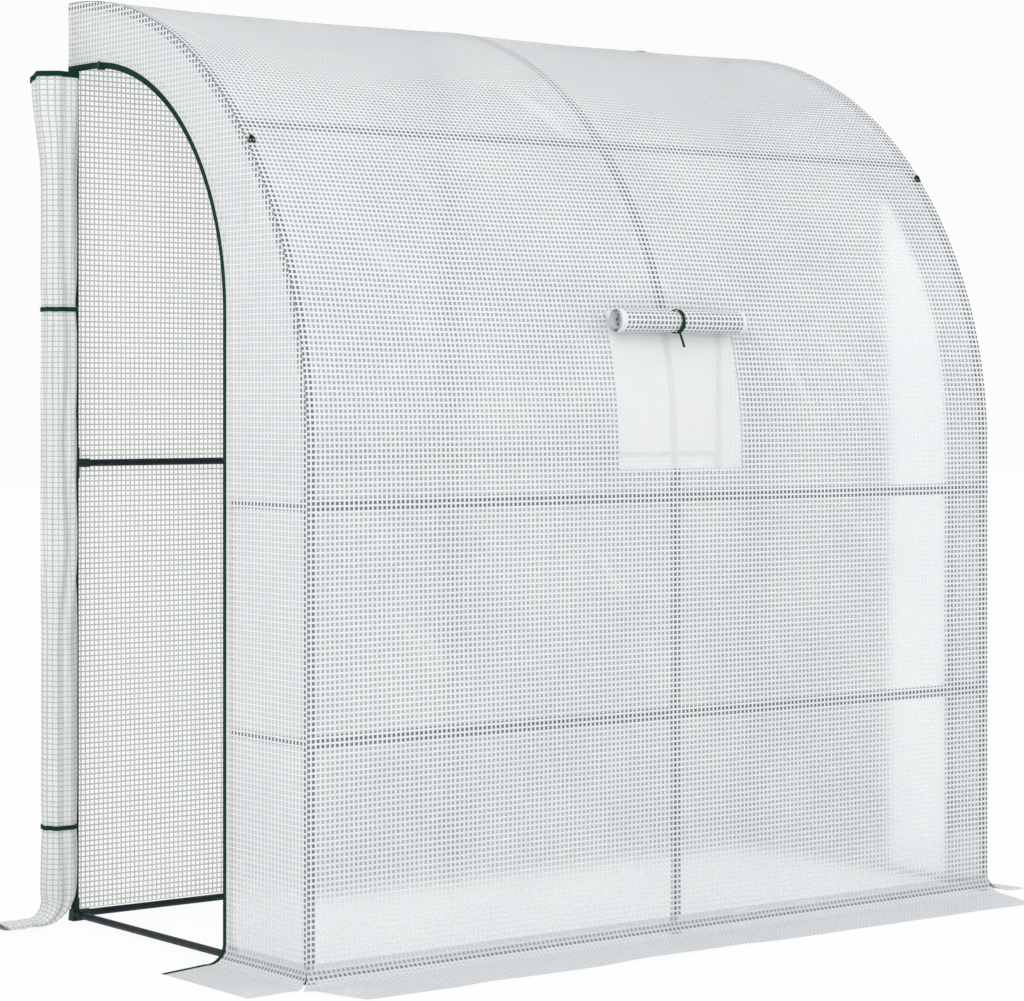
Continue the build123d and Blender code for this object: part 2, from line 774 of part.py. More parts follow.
arch_tie_angle = purlin_angle + angle_of(arch_tie_drop, lower_arch_radius)
tie_place = arc_plane(0, lower_centre, lower_arch_radius, arch_tie_angle)
tie_turn = radians(arch_tie_angle)
tie_out = Vector(0, -sin(tie_turn), cos(tie_turn))
sleeve_turn = angle_of(tie_sleeve, lower_arch_radius)
with BuildPart() as arch_ties:
    for way in ends.values():
        x = way * end_x
        seat = tie_place.origin + Vector(x, 0, 0) + tie_out * (cover_outer + edge_gap)
        with BuildSketch(Plane(origin=seat, x_dir=(1, 0, 0), z_dir=tie_out)):
            with Locations((-loop_radius, 0)):
                Circle(loop_cord / 2)
        revolve(axis=Axis(seat, -tie_place.z_dir), revolution_arc=180)
        add(bent_rod(x, lower_centre, lower_arch_radius, arch_tie_angle - sleeve_turn / 2, sleeve_turn,
                     socket_diameter, socket_bore))
keep("arch_ties", arch_ties)

tail_root = tie_place.origin - tie_out * (socket_diameter / 2)
tail_top = tail_root.Z - tail_cord / 2 * tan(tie_turn) - edge_gap
with BuildPart() as tie_tail:
    with BuildSketch(Plane(origin=(-end_x, tail_root.Y, tail_top - tail_length))):
        Circle(tail_cord / 2)
    extrude(amount=tail_length)
keep("tie_tail", tie_tail)

# Wall tabs: webbing sewn to the rear sheet's top edge, with eyelets that go through the sheet too

with BuildPart() as wall_tabs:
    with BuildSketch(Plane.XZ.offset(-cover_outer)):
        with Locations(tab_places):
            with Locations((0, tab_hole_drop - tab_height / 2)):
                Rectangle(tab_width, tab_height)
            Circle(tab_hole / 2, mode=Mode.SUBTRACT)
    extrude(amount=-tab_thickness)
keep("wall_tabs", wall_tabs)
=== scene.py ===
import math

import bpy
import numpy as np
from mathutils import Matrix, Vector, noise


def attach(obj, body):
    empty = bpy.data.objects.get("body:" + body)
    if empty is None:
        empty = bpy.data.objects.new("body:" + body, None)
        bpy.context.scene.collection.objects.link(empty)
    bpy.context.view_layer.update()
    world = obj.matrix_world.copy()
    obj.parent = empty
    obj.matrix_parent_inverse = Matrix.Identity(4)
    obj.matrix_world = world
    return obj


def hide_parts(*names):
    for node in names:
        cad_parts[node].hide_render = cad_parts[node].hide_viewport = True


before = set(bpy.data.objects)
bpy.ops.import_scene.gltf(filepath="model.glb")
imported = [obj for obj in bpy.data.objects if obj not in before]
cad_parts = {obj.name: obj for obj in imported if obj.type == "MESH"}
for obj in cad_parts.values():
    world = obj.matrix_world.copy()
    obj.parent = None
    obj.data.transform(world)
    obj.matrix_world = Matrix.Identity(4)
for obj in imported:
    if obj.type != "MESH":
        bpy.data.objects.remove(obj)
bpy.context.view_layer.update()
scene = bpy.context.scene
scene.view_settings.view_transform = "Standard"
print("frame loaded:", len(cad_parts), "nodes")

# the frame's lines, in metres, as the part's source has them
house = {
    "endX": 1.0046,        # outside of the end panels
    "tubeX": 0.993,
    "frontY": -0.978,
    "wallFoot": 0.0412,
    "spring": 1.096,
    "lowerCentre": (0.083535, 1.096),
    "lowerRadius": 1.061535,
    "upperCentre": (0.0, 1.169905),
    "upperRadius": 0.950,
    "purlinTurn": math.radians(48.5),
    "ridge": 2.119905,
    "lowRail": 0.498,
    "midRail": 0.989,
    "doorHead": 1.971905,
    "doorRear": 0.0102,
}
doors = {
    "left": {"way": -1, "front": 0.664, "corner": 0.574},
    "right": {"way": 1, "front": 0.825, "corner": 0.825},
}
coverOffset = 0.011
threadLift = 0.0004        # threads off their film


# node helpers


def node(tree, kind, **settings):
    made = tree.nodes.new(kind)
    for key, value in settings.items():
        setattr(made, key, value)
    return made


def feed(tree, socket, value):
    # a link, a colour or a plain value
    if isinstance(value, bpy.types.NodeSocket):
        tree.links.new(value, socket)
    else:
        socket.default_value = (*value, 1) if isinstance(value, tuple) else value


def mathNode(tree, operation, *values):
    made = node(tree, "ShaderNodeMath", operation=operation)
    for socket, value in zip(made.inputs, values):
        feed(tree, socket, value)
    return made.outputs[0]


def gapNode(tree, first, second):
    return mathNode(tree, "ABSOLUTE", mathNode(tree, "SUBTRACT", first, second))


def splitVector(tree, vector):
    made = node(tree, "ShaderNodeSeparateXYZ")
    tree.links.new(vector, made.inputs[0])
    return made.outputs


def ramp(tree, value, low, high, toLow=0.0, toHigh=1.0, kind="SMOOTHSTEP"):
    made = node(tree, "ShaderNodeMapRange", interpolation_type=kind)
    labels = ("Value", "From Min", "From Max", "To Min", "To Max")
    for label, setting in zip(labels, (value, low, high, toLow, toHigh)):
        feed(tree, made.inputs[label], setting)
    return made.outputs["Result"]


def mixNode(tree, kind, factor, first, second):
    made = node(tree, "ShaderNodeMix", data_type=kind)
    for label, value in (("Factor", factor), ("A", first), ("B", second)):
        feed(tree, made.inputs[label], value)
    return made.outputs["Result"]


def mixColour(tree, factor, first, second):
    return mixNode(tree, "RGBA", factor, first, second)


def mixValue(tree, factor, first, second):
    return mixNode(tree, "FLOAT", factor, first, second)


def mixShaders(tree, factor, first, second, output):
    mix = node(tree, "ShaderNodeMixShader")
    for socket, value in zip(mix.inputs, (factor, first.outputs[0], second.outputs[0])):
        tree.links.new(value, socket)
    tree.links.new(mix.outputs[0], node(tree, output).inputs["Surface"])


def noiseNode(tree, vector, scale, detail, rough):
    made = node(tree, "ShaderNodeTexNoise")
    labels = ("Vector", "Scale", "Detail", "Roughness")
    for label, value in zip(labels, (vector, scale, detail, rough)):
        feed(tree, made.inputs[label], value)
    return made.outputs["Fac"]


# camera and light

camera = {
    "place": (-4.5293, -6.2834, 1.2188),
    "turn": (math.pi / 2, 0.0, -0.6539),
    "lens": 107.95,
    "shiftY": -0.1021,
}
light = {
    "sky": 0.50,               # at the horizon
    "zenith": 0.98,
    "skyTone": (0.97, 0.985, 1.0),
    "softboxes": {"keySoftbox": ((-4.9, -4.6, 3.9), 134.0), "fillSoftbox": ((4.2, -4.6, 3.0), 54.0)},
    "aim": (0.0, -0.6, 1.0),
    "size": 4.5,
    "backdrop": 0.972,         # as bright as the far floor, so no horizon shows
    "behindTwoSheets": 0.42,   # how bright the backdrop reads through more than one sheet
    "floorGlow": 0.94,         # the rest of the floor keeps the shadow
    "floorZ": -0.0008,
    "paper": (0.86, 0.86, 0.86),
}


def makeCamera():
    lensData = bpy.data.cameras.new("photoCamera")
    lensData.lens = camera["lens"]
    lensData.sensor_width = 36.0
    lensData.shift_y = camera["shiftY"]
    eye = bpy.data.objects.new("photoCamera", lensData)
    eye.location = camera["place"]
    eye.rotation_euler = camera["turn"]
    scene.collection.objects.link(eye)
    scene.camera = eye


def makeSoftbox(name, place, power):
    lampData = bpy.data.lights.new(name, "AREA")
    lampData.size = light["size"]
    lampData.energy = power
    lamp = bpy.data.objects.new(name, lampData)
    lamp.location = place
    aim = Vector(light["aim"]) - Vector(place)
    lamp.rotation_euler = aim.to_track_quat("-Z", "Y").to_euler()
    scene.collection.objects.link(lamp)


def backdropShade(tree, path, bright):
    # white straight on or behind one sheet, greyer behind more
    deep = mathNode(tree, "GREATER_THAN", path.outputs["Transmission Depth"], 1.5)
    grey = light["behindTwoSheets"]
    return mixColour(tree, deep, (bright, bright, bright), (grey, grey * 1.015, grey * 1.03))


def seenDirect(tree, path):
    # camera, mirror and glass rays see the backdrop
    seen = mathNode(tree, "MAXIMUM", path.outputs["Is Camera Ray"], path.outputs["Is Glossy Ray"])
    return mathNode(tree, "MAXIMUM", seen, path.outputs["Is Transmission Ray"])


def emptyTree(owner):
    owner.use_nodes = True
    owner.node_tree.nodes.clear()
    return owner.node_tree, node(owner.node_tree, "ShaderNodeLightPath")


def makeWorld():
    scene.world = bpy.data.worlds.new("studio")
    tree, path = emptyTree(scene.world)
    way = splitVector(tree, node(tree, "ShaderNodeTexCoord").outputs["Generated"])
    sky = node(tree, "ShaderNodeBackground")
    feed(tree, sky.inputs["Color"], light["skyTone"])
    overhead = ramp(tree, way["Z"], 0.0, 1.0, light["sky"], light["zenith"], "LINEAR")
    feed(tree, sky.inputs["Strength"], overhead)
    back = node(tree, "ShaderNodeBackground")
    feed(tree, back.inputs["Color"], backdropShade(tree, path, light["backdrop"]))
    mixShaders(tree, seenDirect(tree, path), sky, back, "ShaderNodeOutputWorld")


def makeFloor():
    bpy.ops.object.select_all(action="DESELECT")
    bpy.ops.mesh.primitive_plane_add(size=60, location=(0, 0, light["floorZ"]))
    floor = bpy.context.object
    floor.name = "studioFloor"
    material = bpy.data.materials.new("studioFloor")
    tree, path = emptyTree(material)
    paper = node(tree, "ShaderNodeBsdfDiffuse")
    feed(tree, paper.inputs["Color"], light["paper"])
    glow = node(tree, "ShaderNodeEmission")
    feed(tree, glow.inputs["Color"], backdropShade(tree, path, 1.0))
    share = mathNode(tree, "MULTIPLY", seenDirect(tree, path), light["floorGlow"])
    mixShaders(tree, share, paper, glow, "ShaderNodeOutputMaterial")
    floor.data.materials.append(material)


makeCamera()
makeWorld()
makeFloor()
for label, (place, power) in light["softboxes"].items():
    makeSoftbox(label, place, power)
print("camera, light and floor set")


# shared surface effects, as node groups


def startGroup(name, inputs, outputs):
    # an input without a value is a vector, all else is a float
    group = bpy.data.node_groups.new(name, "ShaderNodeTree")
    for label, value in inputs.items():
        kind = "NodeSocketVector" if value is None else "NodeSocketFloat"
        socket = group.interface.new_socket(name=label, in_out="INPUT", socket_type=kind)
        if value is not None:
            socket.default_value = value
    for label in outputs:
        group.interface.new_socket(name=label, in_out="OUTPUT", socket_type="NodeSocketFloat")
    return group, node(group, "NodeGroupInput"), node(group, "NodeGroupOutput")


def makeThreadGrid():
    inputs = {"Cloth": None, "Pitch": 0.012, "Share": 0.38, "Stretch": 1.0, "Wander": 0.0006}
    group, take, give = startGroup("threadGrid", inputs, ("Thread", "Height"))
    drift = node(group, "ShaderNodeTexNoise")
    for label, value in (("Vector", take.outputs["Cloth"]), ("Scale", 9.0), ("Detail", 2.0)):
        feed(group, drift.inputs[label], value)
    centred = node(group, "ShaderNodeVectorMath", operation="SUBTRACT")
    centred.inputs[1].default_value = (0.5, 0.5, 0.5)
    group.links.new(drift.outputs["Color"], centred.inputs[0])
    push = node(group, "ShaderNodeVectorMath", operation="SCALE")
    group.links.new(centred.outputs[0], push.inputs[0])
    group.links.new(mathNode(group, "MULTIPLY", take.outputs["Wander"], 6.0), push.inputs["Scale"])
    moved = node(group, "ShaderNodeVectorMath", operation="ADD")
    group.links.new(take.outputs["Cloth"], moved.inputs[0])
    group.links.new(push.outputs[0], moved.inputs[1])
    split = splitVector(group, moved.outputs[0])
    soft = 0.045     # half the blur of a thread's edge, as a share of the pitch
    lanes = []
    rounds = []
    for axis, stretch in (("X", take.outputs["Stretch"]), ("Y", 1.0)):
        pitch = mathNode(group, "MULTIPLY", take.outputs["Pitch"], stretch)
        cells = mathNode(group, "FRACT", mathNode(group, "DIVIDE", split[axis], pitch))
        near = gapNode(group, cells, 0.5)
        thicker = mathNode(group, "POWER", stretch, 3.0)
        share = mathNode(group, "MULTIPLY", take.outputs["Share"], thicker)
        edge = mathNode(group, "SUBTRACT", 0.5, mathNode(group, "MULTIPLY", share, 0.5))
        low = mathNode(group, "SUBTRACT", edge, soft)
        high = mathNode(group, "ADD", edge, soft)
        lanes.append(ramp(group, near, low, high))
        rounds.append(ramp(group, near, edge, 0.5))
    group.links.new(mathNode(group, "MAXIMUM", *lanes), give.inputs["Thread"])
    group.links.new(mathNode(group, "MAXIMUM", *rounds), give.inputs["Height"])
    return group


def makeCloud():
    outputs = ("Cloud", "Streak", "Crumple")
    group, take, give = startGroup("clothCloud", {"Cloth": None}, outputs)
    wide = noiseNode(group, take.outputs["Cloth"], 3.2, 4.0, 0.6)
    group.links.new(ramp(group, wide, 0.32, 0.72), give.inputs["Cloud"])
    lean = node(group, "ShaderNodeMapping", vector_type="TEXTURE")
    lean.inputs["Rotation"].default_value = (0, 0, math.radians(32))
    lean.inputs["Scale"].default_value = (0.11, 0.53, 1.0)
    group.links.new(take.outputs["Cloth"], lean.inputs["Vector"])
    streak = noiseNode(group, lean.outputs[0], 1.0, 3.0, 0.5)
    group.links.new(ramp(group, streak, 0.60, 0.74), give.inputs["Streak"])
    crumple = noiseNode(group, take.outputs["Cloth"], 26.0, 3.0, 0.5)
    group.links.new(crumple, give.inputs["Crumple"])
    return group


def makeFineGrain():
    inputs = {"Place": None, "Scale": 900.0}
    group, take, give = startGroup("fineGrain", inputs, ("Height", "Tone", "Dull"))
    peel = noiseNode(group, take.outputs["Place"], take.outputs["Scale"], 2.0, 0.5)
    group.links.new(peel, give.inputs["Height"])
    tone = noiseNode(group, take.outputs["Place"], 14.0, 4.0, 0.6)
    group.links.new(ramp(group, tone, 0.3, 0.75), give.inputs["Tone"])
    dull = noiseNode(group, take.outputs["Place"], 42.0, 4.0, 0.65)
    group.links.new(ramp(group, dull, 0.35, 0.7), give.inputs["Dull"])
    return group


def makeRibWeave():
    group, take, give = startGroup("ribWeave", {"Place": None, "Pitch": 0.0014}, ("Rib", "Worn"))
    split = splitVector(group, take.outputs["Place"])
    turns = []
    for axis in ("X", "Y", "Z"):
        turn = mathNode(group, "DIVIDE", split[axis], take.outputs["Pitch"])
        turns.append(mathNode(group, "SINE", mathNode(group, "MULTIPLY", turn, math.tau)))
    both = mathNode(group, "MULTIPLY", turns[0], turns[1])
    rib = mathNode(group, "ADD", mathNode(group, "MULTIPLY", both, turns[2]), 1.0)
    group.links.new(mathNode(group, "MULTIPLY", rib, 0.5), give.inputs["Rib"])
    worn = noiseNode(group, take.outputs["Place"], 60.0, 4.0, 0.6)
    group.links.new(ramp(group, worn, 0.4, 0.75), give.inputs["Worn"])
    return group


threadGrid = makeThreadGrid()
clothCloud = makeCloud()
fineGrain = makeFineGrain()
ribWeave = makeRibWeave()


def groupNode(tree, group, **values):
    made = node(tree, "ShaderNodeGroup")
    made.node_tree = group
    for label, value in values.items():
        feed(tree, made.inputs[label], value)
    return made


def startMaterial(name, roughness, specular=0.5):
    material = bpy.data.materials.new(name)
    material.use_nodes = True
    tree = material.node_tree
    shader = tree.nodes["Principled BSDF"]
    shader.inputs["Roughness"].default_value = roughness
    shader.inputs["Specular IOR Level"].default_value = specular
    return material, tree, shader, node(tree, "ShaderNodeTexCoord")


def addBump(tree, shader, height, strength, distance):
    bump = node(tree, "ShaderNodeBump")
    bump.inputs["Strength"].default_value = strength
    bump.inputs["Distance"].default_value = distance
    tree.links.new(height, bump.inputs["Height"])
    tree.links.new(bump.outputs[0], shader.inputs["Normal"])


def tubeLines(tree, cloth):
    # how far a point of the cover is from the middle of the nearest tube behind it; this places the
    # painted shade of the tubes
    split = splitVector(tree, cloth)
    side = mathNode(tree, "ABSOLUTE", split["X"])
    ends = gapNode(tree, side, house["tubeX"])
    lifted = ramp(tree, split["Y"], *middleLift)
    reach = mathNode(tree, "MINIMUM", ends, mathNode(tree, "ADD", side, lifted))
    for rail, narrow in railLines:
        away = mathNode(tree, "MULTIPLY", gapNode(tree, split["Y"], rail), narrow)
        reach = mathNode(tree, "MINIMUM", reach, away)
    return reach


def groundLine(tree, cloth):
    return gapNode(tree, splitVector(tree, cloth)["Y"], groundRow)


def tubeAttribute(tree, cloth):
    return node(tree, "ShaderNodeAttribute", attribute_name="tubeReach").outputs["Fac"]


def filmMaterial(name, look):
    # hazy clear sheet, what is far blurs out; where a tube lies right behind it the tint is painted
    # darker, painted shade of the tube; UV in metres
    material, tree, shader, coords = startMaterial(name, look["haze"])
    shader.inputs["IOR"].default_value = look["ior"]
    shader.inputs["Transmission Weight"].default_value = look["through"]
    cloth = coords.outputs["UV"]
    cloud = groupNode(tree, clothCloud, Cloth=cloth)
    cell = mixColour(tree, cloud.outputs["Cloud"], look["film"], look["filmPale"])
    # painted shade: a darker tint where a tube lies right behind the sheet
    if "tubes" in look:
        away = ramp(tree, look["tubes"](tree, cloth), *look["tubeBand"])
        cell = mixColour(tree, away, look["tubeShadeFilm"], cell)
    tree.links.new(cell, shader.inputs["Base Color"])
    addBump(tree, shader, cloud.outputs["Crumple"], look["bump"], clothBump)
    return material


def threadMaterial(name, look):
    # flat threads with more or less milky cells between them; UV in metres
    material, tree, shader, coords = startMaterial(name, 0.6, 0.4)
    cloth = coords.outputs["UV"]
    grid = groupNode(tree, threadGrid, Cloth=cloth, Pitch=look["pitch"], Share=look["share"],
                     Stretch=look.get("stretch", 1.0), Wander=look["wander"])
    cloud = groupNode(tree, clothCloud, Cloth=cloth)
    milk = mixValue(tree, cloud.outputs["Cloud"], look["clearest"], look["milkiest"])
    # crease streaks: real creases in the film, made more opaque and tinted by streakTone, partly a
    # painted highlight
    crease = mathNode(tree, "MULTIPLY", cloud.outputs["Streak"], look["creaseAndHighlight"])
    milk = mathNode(tree, "MAXIMUM", milk, crease)
    cell = mixColour(tree, cloud.outputs["Streak"], look["cell"], look["streakTone"])
    if "floorLightBand" in look:     # painted light: the cells turn opaque and pale along the ground, for the bright floor seen through
        uneven = mathNode(tree, "SUBTRACT", cloud.outputs["Cloud"], 0.5)
        drift = mathNode(tree, "MULTIPLY", uneven, floorLightDrift)
        height = mathNode(tree, "ADD", splitVector(tree, cloth)["Y"], drift)
        low = ramp(tree, height, *look["floorLightBand"], 1.0, 0.0)
        milk = mixValue(tree, low, milk, look["floorLightCover"])
    # painted shade: darker, more opaque cells where a tube lies right behind the sheet
    if "tubes" in look:
        away = ramp(tree, look["tubes"](tree, cloth), *look["tubeBand"])
        milk = mixValue(tree, away, look["tubeShadeCover"], milk)
        cell = mixColour(tree, away, look["tubeShadeCell"], cell)
    alpha = mixValue(tree, grid.outputs["Thread"], milk, look["threadCover"])
    tree.links.new(alpha, shader.inputs["Alpha"])
    thread = mixColour(tree, cloud.outputs["Cloud"], look["threadDim"], look["thread"])
    colour = mixColour(tree, grid.outputs["Thread"], cell, thread)
    tree.links.new(colour, shader.inputs["Base Color"])
    crumple = mathNode(tree, "MULTIPLY", cloud.outputs["Crumple"], look["crumple"])
    raised = mathNode(tree, "ADD", mathNode(tree, "MULTIPLY", grid.outputs["Height"], 0.5), crumple)
    addBump(tree, shader, raised, look["bump"], clothBump)
    return material


# length up the cloth of each rail behind it, and how narrow its painted shade shows
railLines = ((0.4598, 0.74), (0.9508, 0.74), (1.83165, 1.0), (2.6457, 1.0))
middleLift = (1.84, 2.05, 0.0, 0.0055)     # the middle arch's painted shade fades out up there
# where the ground tube's painted shade runs along the skirts
groundRow = 0.030
# how far the edge of the painted floor light wanders
floorLightDrift = 0.09
clothBump = 0.0012
threadLook = {
    "pitch": 0.012, "share": 0.40, "wander": 0.0002, "clearest": 0.0, "milkiest": 0.16,
    "creaseAndHighlight": 0.45, "threadCover": 0.95, "cell": (0.88, 0.89, 0.895),
    "streakTone": (0.90, 0.91, 0.91), "thread": (0.90, 0.915, 0.92),
    "threadDim": (0.86, 0.875, 0.885), "crumple": 1.0, "bump": 0.3,
}
filmLook = {"haze": 0.48, "ior": 1.10, "through": 0.80, "film": (0.87, 0.885, 0.892),
            "filmPale": (0.90, 0.912, 0.918), "bump": 0.3}
# painted shade of the tubes behind the cover, the end walls and the skirts: darker cells and tint
tubeShadeLook = {"tubeShadeCell": (0.235, 0.25, 0.26), "tubeShadeCover": 0.72, "tubeShadeFilm": (0.30, 0.315, 0.325)}
coverTubes = {**tubeShadeLook, "tubes": tubeLines, "tubeBand": (0.0088, 0.0116)}
endTubes = {**tubeShadeLook, "tubes": tubeAttribute, "tubeBand": (0.0080, 0.0108)}
coverFilm = {**filmLook, **coverTubes}
coverThreads = {**threadLook, **coverTubes, "floorLightBand": (0.070, 0.125), "floorLightCover": 0.36}
endFilm = {**filmLook, **endTubes, "through": 0.48}
endThreads = {**threadLook, **endTubes, "share": 0.36, "stretch": 1.11, "clearest": 0.12,
              "milkiest": 0.22, "thread": (0.93, 0.942, 0.948), "threadDim": (0.90, 0.912, 0.92),
              "floorLightBand": (0.14, 0.205), "floorLightCover": 0.62}
rearFilm = {**filmLook, "through": 0.93, "film": (0.955, 0.965, 0.955),
            "filmPale": (0.94, 0.95, 0.94)}
# rear sheet: its threads painted darker grey than the cover's threads, painted shade; the right
# door's leaf uses them too
rearThreads = {**threadLook, "share": 0.24, "milkiest": 0.03, "creaseAndHighlight": 0.05,
               "thread": (0.62, 0.64, 0.61), "threadDim": (0.57, 0.59, 0.56)}
hemLook = {**threadLook, "clearest": 0.70, "milkiest": 0.80, "cell": (0.74, 0.775, 0.755),
           "thread": (0.86, 0.885, 0.87), "threadDim": (0.82, 0.85, 0.83)}
# skirts: cells and threads painted darker grey than the cover's, painted shade; a dark line marks
# the ground tube behind the bend, painted shade too
skirtShadedLook = {**threadLook, "clearest": 0.66, "milkiest": 0.76, "creaseAndHighlight": 0.76,
             "cell": (0.50, 0.525, 0.54), "streakTone": (0.70, 0.72, 0.73),
             "thread": (0.74, 0.76, 0.77), "threadDim": (0.69, 0.71, 0.72),
             **tubeShadeLook, "tubeShadeCover": 0.95, "tubes": groundLine, "tubeBand": (0.0055, 0.0072)}
# rolled flap: dark grey cells, painted shade of the layers inside the roll
flapShadedLook = {**threadLook, "clearest": 0.66, "milkiest": 0.74, "creaseAndHighlight": 0.7,
            "cell": (0.31, 0.325, 0.33), "streakTone": (0.40, 0.41, 0.42)}
rimLook = {**threadLook, "clearest": 0.90, "milkiest": 0.94}
looseLook = {
    "pitch": 0.012, "share": 0.20, "wander": 0.0006, "creaseAndHighlight": 0.9, "clearest": 0.84,
    "milkiest": 0.94, "threadCover": 0.95, "cell": (0.965, 0.975, 0.965),
    "streakTone": (0.82, 0.87, 0.84), "thread": (0.60, 0.63, 0.60),
    "threadDim": (0.54, 0.57, 0.54), "crumple": 0.8, "bump": 0.3,
}
doubledLook = {**looseLook, "clearest": 0.93, "milkiest": 0.97, "threadCover": 1.0,
               "cell": (0.93, 0.945, 0.93), "thread": (0.66, 0.69, 0.65),
               "threadDim": (0.62, 0.65, 0.61)}
netLook = {
    "pitch": 0.0016, "share": 0.36, "wander": 0.0, "creaseAndHighlight": 0.8, "clearest": 0.76,
    "milkiest": 0.84, "threadCover": 0.97, "cell": (0.82, 0.83, 0.835),
    "streakTone": (0.83, 0.84, 0.845), "thread": (0.92, 0.93, 0.935),
    "threadDim": (0.89, 0.90, 0.905), "crumple": 0.4, "bump": 0.3,
}


def paintMaterial(name, dark, pale, rough, grainScale, bump, specular, metal=0.0):
    # paint or moulded plastic with a fine grain and a slow drift of tone
    dull, bright = rough
    material, tree, shader, coords = startMaterial(name, dull, specular)
    shader.inputs["Metallic"].default_value = metal
    grain = groupNode(tree, fineGrain, Place=coords.outputs["Object"], Scale=grainScale)
    tone = mixColour(tree, grain.outputs["Tone"], dark, pale)
    tree.links.new(tone, shader.inputs["Base Color"])
    tree.links.new(mixValue(tree, grain.outputs["Dull"], bright, dull), shader.inputs["Roughness"])
    addBump(tree, shader, grain.outputs["Height"], bump, 0.0003)
    return material


def tapeMaterial(name, dark, pale, pitch, bump):
    # woven tape: fine ribs, paler where rubbed
    material, tree, shader, coords = startMaterial(name, 0.85, 0.15)
    weave = groupNode(tree, ribWeave, Place=coords.outputs["Object"], Pitch=pitch)
    rubbed = mathNode(tree, "MULTIPLY", weave.outputs["Worn"], weave.outputs["Rib"])
    tree.links.new(mixColour(tree, rubbed, dark, pale), shader.inputs["Base Color"])
    addBump(tree, shader, weave.outputs["Rib"], bump, 0.0005)
    return material


finishes = {
    "cover": filmMaterial("coverFilm", coverFilm),
    "coverThreads": threadMaterial("coverThreads", coverThreads),
    "end": filmMaterial("endFilm", endFilm),
    "endThreads": threadMaterial("endThreads", endThreads),
    "rear": filmMaterial("rearFilm", rearFilm),
    "rearThreads": threadMaterial("rearThreads", rearThreads),
    "hem": threadMaterial("doubledFilm", hemLook),
    "skirt": threadMaterial("skirtFilm", skirtShadedLook),
    "flap": threadMaterial("rolledFilm", flapShadedLook),
    "rim": threadMaterial("rolledHemFilm", rimLook),
    "loose": threadMaterial("looseFilm", looseLook),
    "doubled": threadMaterial("foldedHemFilm", doubledLook),
    "net": threadMaterial("insectNet", netLook),
    "tube": paintMaterial("slatePowderCoat", (0.004, 0.013, 0.019), (0.009, 0.020, 0.028),
                          (0.55, 0.40), 700.0, 0.25, 0.25),
    "fitting": paintMaterial("tealPlastic", (0.006, 0.026, 0.027), (0.012, 0.040, 0.040),
                             (0.66, 0.52), 1100.0, 0.35, 0.3),
    "zip": paintMaterial("greenZipPaint", (0.006, 0.032, 0.017), (0.012, 0.050, 0.028),
                         (0.60, 0.46), 1500.0, 0.2, 0.25),
    "eyelet": paintMaterial("eyeletZinc", (0.32, 0.33, 0.34), (0.48, 0.49, 0.50),
                            (0.42, 0.28), 1300.0, 0.2, 0.5, metal=0.9),
    "green": tapeMaterial("greenTape", (0.005, 0.036, 0.018), (0.011, 0.058, 0.031), 0.0016, 0.5),
    "webbing": tapeMaterial("greyWebbing", (0.070, 0.078, 0.080), (0.16, 0.17, 0.17), 0.0022, 0.6),
}


def dress(piece, finish):
    piece.data.materials.clear()
    piece.data.materials.append(finishes[finish])


tubeNodes = ("front_post", "rear_post", "arch_left", "arch_mid", "arch_right", "jamb_post",
             "end_rails", "end_ground", "front_ground_rail", "rear_ground_rail", "front_rail",
             "rear_rail", "purlin", "ridge_rail")
fittingNodes = ("front_foot", "rear_foot", "mid_feet", "front_crosses", "rear_crosses",
                "purlin_joints", "ridge_joints", "jamb_fittings")
for label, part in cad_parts.items():
    if label.startswith(("zip_slider", "zip_pull")):
        dress(part, "zip")
    elif label.startswith(fittingNodes):
        dress(part, "fitting")
    elif label.startswith(tubeNodes):
        dress(part, "tube")
print("finishes made:", len(finishes))


# cloth helpers


def wave(x, y, z=0.0):
    return noise.noise(Vector((x, y, z)))


def lerp(first, second, share):
    return first + (second - first) * share


def smooth(share):
    share = min(1.0, max(0.0, share))
    return share * share * (3 - 2 * share)


def pick(piece):
    bpy.ops.object.select_all(action="DESELECT")
    piece.select_set(True)
    bpy.context.view_layer.objects.active = piece


def addShape(operator, **settings):
    bpy.ops.object.select_all(action="DESELECT")
    operator(**settings)
    return bpy.context.object


def editAll(piece, operator, **settings):
    pick(piece)
    bpy.ops.object.mode_set(mode="EDIT")
    bpy.ops.mesh.select_all(action="SELECT")
    operator(**settings)
    bpy.ops.object.mode_set(mode="OBJECT")


def deleteFaces(piece, test):
    # deletes the faces whose middle passes the test
    pick(piece)
    mesh = piece.data
    for group in (mesh.vertices, mesh.edges, mesh.polygons):
        group.foreach_set("select", [False] * len(group))
    for face in mesh.polygons:
        face.select = test(face.center)
    scene.tool_settings.mesh_select_mode = (False, False, True)
    bpy.ops.object.mode_set(mode="EDIT")
    bpy.ops.mesh.delete(type="FACE")
    bpy.ops.object.mode_set(mode="OBJECT")


